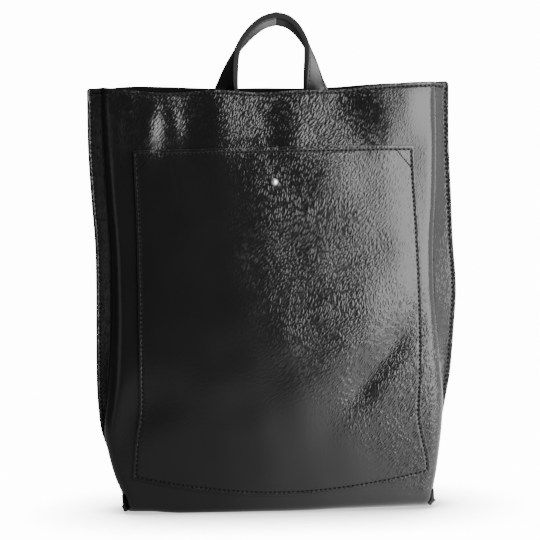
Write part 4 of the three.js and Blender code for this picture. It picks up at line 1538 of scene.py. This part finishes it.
@dataclass
class Handle(Strap):
    """The top handle: an arch whose legs turn flat and are sewn inside the back panel."""

    rise: float = 59.6 * MM
    half_span: float = 42.7 * MM
    shift: float = -1.3 * MM
    lean: float = 6.3 * MM
    roll: float = 5
    step: float = 16 * MM
    count: int = 241

    def stations(self) -> tuple[Array, Array]:
        """Places along the arch: up one leg, over the top and down the other, with the far
        edge kept in line with the panel that the legs are sewn to."""
        way = np.linspace(-1, 1, self.count)
        side = np.where(way < 0, -1.0, 1.0)
        run = 1 - np.abs(way)
        turn = np.radians(HANDLE_LEG.read("turn", run))
        rise = HANDLE_LEG.read("rise", run)
        z = BAG.height + rise * self.rise
        reach = HANDLE_LEG.read("reach", run) * self.half_span
        x = side * reach + self.shift + self.lean * np.maximum(rise, 0) ** 1.5
        height = np.minimum(z, BAG.height)
        offs = [self.half_span + off * self.width / 2 for off in (-1, 0, 1)]
        reaches = [self.shift + sign * off for sign in (-1, 1) for off in offs]
        spots = [BACK.depth(np.full_like(z, spot), height) for spot in reaches]
        stepped = np.clip((height - BAG.hem_start) / self.step + 1, 0, 1)
        seat = np.min(spots, axis=0) - BAG.leather * (0.5 + stepped) - BAG.clearance
        half = (self.width * np.cos(turn) + self.thickness * np.sin(turn)) / 2
        places = np.stack([x, seat - half, z], axis=-1)
        tipped = -math.tan(math.radians(self.roll)) * np.cos(turn)
        hints = np.stack([side * np.sin(turn), np.cos(turn), tipped], axis=-1)
        return places, hints

    def sew_more(self, thread: Thread, places: Array, across: Array, flat: Array) -> None:
        """Add a stitched box on each sewn leg, on the face toward the inside of the bag."""
        for end in (slice(4, 38), slice(-38, -4)):
            for share in (0, -1):
                spot = places[end][share]
                reach = np.linspace(-1, 1, 12)[:, None] * self.stitch_reach
                face = -np.sign(flat[end][share][1]) or 1.0
                out = flat[end][share] * face
                line = spot + across[end][share] * reach + out * self.box_lift
                thread.run(line, np.tile(out, (len(line), 1)))


@dataclass
class ShoulderStrap(Strap):
    """A shoulder strap, sewn to the back panel at its top end and its foot."""

    side: int = 1
    top: float = 346 * MM
    foot: float = 34 * MM
    top_half_span: float = 18 * MM
    foot_half_span: float = 108 * MM
    bow: float = 46 * MM
    count: int = 221

    def stations(self) -> tuple[Array, Array]:
        """Places down the strap: on the back at both ends, standing off it between them."""
        run = np.linspace(0, 1, self.count)
        out, down = self.foot_half_span - self.top_half_span, self.top - self.foot
        x = self.side * (self.top_half_span + out * run)
        z = self.top - down * run
        spots = [BACK.depth(x + share * self.width / 2, z) for share in (-1, 0, 1)]
        off = np.maximum(STRAP_RUN.read("off", run) * self.bow, 0)
        seat = np.max(spots, axis=0) + BAG.leather / 2 + 2 * BAG.clearance
        places = np.stack([x, seat + self.thickness / 2 + off, z], axis=-1)
        hint = unit(np.array([down, 0, self.side * out]))
        return places, np.tile(hint, (self.count, 1))

    def sew_more(self, thread: Thread, places: Array, across: Array, flat: Array) -> None:
        """Add a stitched box with a cross at both ends, on the outer face."""
        face = 1.0 if flat[0][1] > 0 else -1.0
        corners = [(-1, 0), (1, 0), (1, 1), (-1, 1)]
        order = [(0, 1), (2, 3), (0, 2), (1, 3)]
        share = np.linspace(0, 1, 20)[:, None]
        for first, last in ((3, 24), (-25, -4)):
            way = places[last] - places[first]
            reach = across[first] * self.stitch_reach
            lifted = places[first] + flat[first] * self.box_lift * face
            spots = [lifted + reach * a + way * b for a, b in corners]
            for a, b in order:
                line = spots[a] * (1 - share) + spots[b] * share
                thread.run(line, np.tile(flat[first] * face, (len(line), 1)))


HANDLE = Handle("handle_leather", "handle", width=25 * MM, thickness=5.2 * MM)


@dataclass
class Stud:
    """The pocket's ball stud: a flange, a neck and a ball head, turned in one piece."""

    name: str = "ball_stud"
    flange_radius: float = 3.6 * MM
    flange: float = 0.8 * MM
    screw_radius: float = 5 * MM
    screw_head: float = 1.2 * MM

    def build(self, wardrobe: Wardrobe) -> None:
        """Turn the stud's outline round its axis: rings of points along the outline."""
        z = BAG.stud_height
        depth = float(FRONT.depth(np.array(0.0), np.array(z)))
        skin = Pocket().stud_depth() + BAG.pocket_leather / 2
        inside = depth - BAG.leather / 2 - 2 * BAG.clearance
        outside = depth + BAG.leather / 2 + BAG.clearance
        centre = skin + BAG.clearance + BAG.stud_ball * 0.8
        neck = math.asin(BAG.stud_neck / BAG.stud_ball)
        angle = np.linspace(neck, math.pi - 0.02, 28)
        ball = np.stack([BAG.stud_ball * np.sin(angle), centre - BAG.stud_ball * np.cos(angle)], axis=-1)
        outline = np.concatenate([
            [
                (self.screw_radius * 0.92, inside - self.screw_head),
                (self.screw_radius, inside - self.screw_head * 0.7),
                (self.screw_radius, inside),
                (BAG.stud_neck, inside),
                (BAG.stud_neck, outside),
                (self.flange_radius, outside),
                (self.flange_radius, outside + self.flange * 0.6),
                (self.flange_radius * 0.92, outside + self.flange),
                (BAG.stud_neck * 1.15, outside + self.flange),
                (BAG.stud_neck, outside + self.flange * 1.5),
            ],
            ball,
        ])
        turn = np.linspace(0, 2 * math.pi, 41)[:-1]
        radius, along = outline[:, :1], outline[:, 1:]
        rings = np.stack([
            radius * np.cos(turn), -along * np.ones_like(turn), radius * np.sin(turn) + z,
        ], axis=-1)
        parts = MeshParts()
        parts.tube(rings, {})
        wardrobe.dress(parts.build(self.name), Finish.METAL, "stud_metal", "pocket_stud")


@dataclass(frozen=True)
class SoftLight:
    """A soft rectangular light: where it hangs, its width and height, its power in watts
    and the point that it faces."""

    name: str
    place: tuple[float, float, float]
    size: tuple[float, float]
    power: float
    aim: tuple[float, float, float] = (0.0, 0.0, 0.21)


LIGHTS = (
    SoftLight("key_right", (1.15, -1.40, 0.60), (1.36, 1.7), 75),
    SoftLight("side_right", (1.80, -0.25, 0.60), (1.5, 1.5), 16),
    SoftLight("back_right", (1.35, 0.95, 0.60), (1.1, 1.3), 14),
    SoftLight("side_left", (-1.35, -0.85, 0.60), (0.5, 1.2), 1.0),
    SoftLight("overhead", (0.1, -0.4, 1.7), (0.9, 0.5), 4),
)


@dataclass
class Studio:
    """The floor, the soft lights and the camera.

    white is the strength of the glow that the camera sees, and dim that of the world for
    everything else. The painted shadow darkens that glow where it is hidden within its reach.
    The painted pool is a pool of light painted on the floor as a glow that only reflections and
    soft light see: it grows from its left to its right place.
    """

    white: float = 14.0
    dim: float = 0.06
    floor_reach: float = 6.0
    floor_drop: float = 0.2 * MM
    floor_grey: float = 0.12
    floor_fade: tuple[float, float] = (0.6, 2.4)
    # Reach, power and least level of the painted shadow in the floor's glow.
    painted_shadow_reach: float = 0.09
    painted_shadow_power: int = 4
    painted_shadow_least: float = 0.06
    # Places, least level and growth of the painted pool of light in the floor's glow.
    painted_pool_places: tuple[float, float] = (-0.10, 0.28)
    painted_pool_least: float = 0.25
    painted_pool_growth: float = 2.6
    scale: float = 0.9018 * MM
    distance: float = 1.0
    aim_height: float = 213.0 * MM
    aim_across: float = -5.4 * MM
    roll: float = 1.2
    sensor: float = 36.0
    frame_pixels: int = 540

    def floor(self) -> None:
        """Lay a pale floor that fades into the white beyond it."""
        mesh = bpy.data.meshes.new("floor")
        far = self.floor_reach
        corners = [(-far, -far), (far, -far), (far, far), (-far, far)]
        mesh.from_pydata([(x, y, -self.floor_drop) for x, y in corners], [], [(0, 1, 2, 3)])
        floor = bpy.data.objects.new("floor", mesh)
        bpy.context.scene.collection.objects.link(floor)
        graph = Graph(bpy.data.materials.new("pale_floor"))
        place = graph.place()
        distance = graph.read("ShaderNodeVectorMath", "Value", {"operation": "LENGTH"}, {0: place})
        pale = graph.node("ShaderNodeBsdfDiffuse", {}, {"Color": (*[self.floor_grey] * 3, 1)})
        hidden = {"Distance": self.painted_shadow_reach}
        open_sky = graph.read("ShaderNodeAmbientOcclusion", "AO", {"samples": 8}, hidden)
        across = graph.read("ShaderNodeSeparateXYZ", "X", {}, {0: place})
        # Painted pool of light: a glow that only reflections and soft light see, brighter toward the right.
        painted_pool = across.smooth(*self.painted_pool_places) * self.painted_pool_growth + self.painted_pool_least
        # Painted shadow: the glow that the camera sees is darkened where the bag hides the sky.
        painted_shadow = open_sky ** self.painted_shadow_power * (1 - self.painted_shadow_least) + self.painted_shadow_least
        seen = graph.seen()
        strength = painted_shadow * self.white * seen + painted_pool * (1 - seen)
        # The glow holds the even white, the painted shadow and the painted pool of light.
        glow = graph.node("ShaderNodeEmission", {}, {"Strength": strength})
        lit = graph.node("ShaderNodeAddShader", {}, {0: pale, 1: glow})
        clear = graph.node("ShaderNodeBsdfTransparent", {}, {})
        layers = {0: distance.smooth(*self.floor_fade), 1: lit, 2: clear}
        mesh.materials.append(graph.finish(graph.node("ShaderNodeMixShader", {}, layers)))

    def world(self) -> None:
        """White where the camera looks past the bag, and dim for everything else."""
        world = bpy.data.worlds.new("studio")
        bpy.context.scene.world = world
        graph = Graph(world)
        strength = self.dim + graph.seen() * self.white
        back = graph.node("ShaderNodeBackground", {}, {"Color": (1, 1, 1, 1), "Strength": strength})
        graph.finish(back, "ShaderNodeOutputWorld")

    def light(self, lamp: SoftLight) -> None:
        """Hang a soft rectangular light, which the camera doesn't see."""
        data = bpy.data.lights.new(lamp.name, "AREA")
        data.shape = "RECTANGLE"
        data.size, data.size_y = lamp.size
        data.energy = lamp.power
        holder = bpy.data.objects.new(lamp.name, data)
        way = Vector(lamp.aim) - Vector(lamp.place)
        holder.rotation_euler = way.to_track_quat("-Z", "Y").to_euler()
        holder.location = lamp.place
        holder.visible_camera = False
        bpy.context.scene.collection.objects.link(holder)

    def camera(self) -> None:
        """Set the camera square on to the front, rolled a little as the photograph is."""
        data = bpy.data.cameras.new("camera")
        data.sensor_width = self.sensor
        data.lens = self.sensor * self.distance / (self.scale * self.frame_pixels)
        camera = bpy.data.objects.new("camera", data)
        upright = Matrix.Rotation(math.pi / 2, 4, "X")
        rolled = Matrix.Rotation(math.radians(self.roll), 4, "Y")
        place = Matrix.Translation((self.aim_across, -self.distance, self.aim_height))
        camera.matrix_world = place @ rolled @ upright
        bpy.context.scene.collection.objects.link(camera)
        bpy.context.scene.camera = camera

    def build(self) -> None:
        """Set up the whole studio."""
        self.floor()
        self.world()
        for lamp in LIGHTS:
            self.light(lamp)
        self.camera()
        log.info("studio: floor, world, %d lights and the camera", len(LIGHTS))


def main() -> None:
    """Build the studio and every piece of the bag, in order."""
    logging.basicConfig(level=logging.INFO, format="%(message)s")
    Studio().build()
    wardrobe = Wardrobe()
    Panel("front_panel_leather", FRONT, "front_panel").build(wardrobe)
    BackPanel("back_panel_leather", BACK, "back_panel").build(wardrobe)
    BaseSheet().build(wardrobe)
    Pocket().build(wardrobe)
    Stud().build(wardrobe)
    HANDLE.build(wardrobe)
    for side, word in ((-1, "left"), (1, "right")):
        strap = ShoulderStrap(
            f"strap_leather_{word}", f"shoulder_strap_{word}", width=22 * MM, thickness=3.6 * MM, side=side,
        )
        strap.build(wardrobe)


if __name__ == "__main__":
    main()
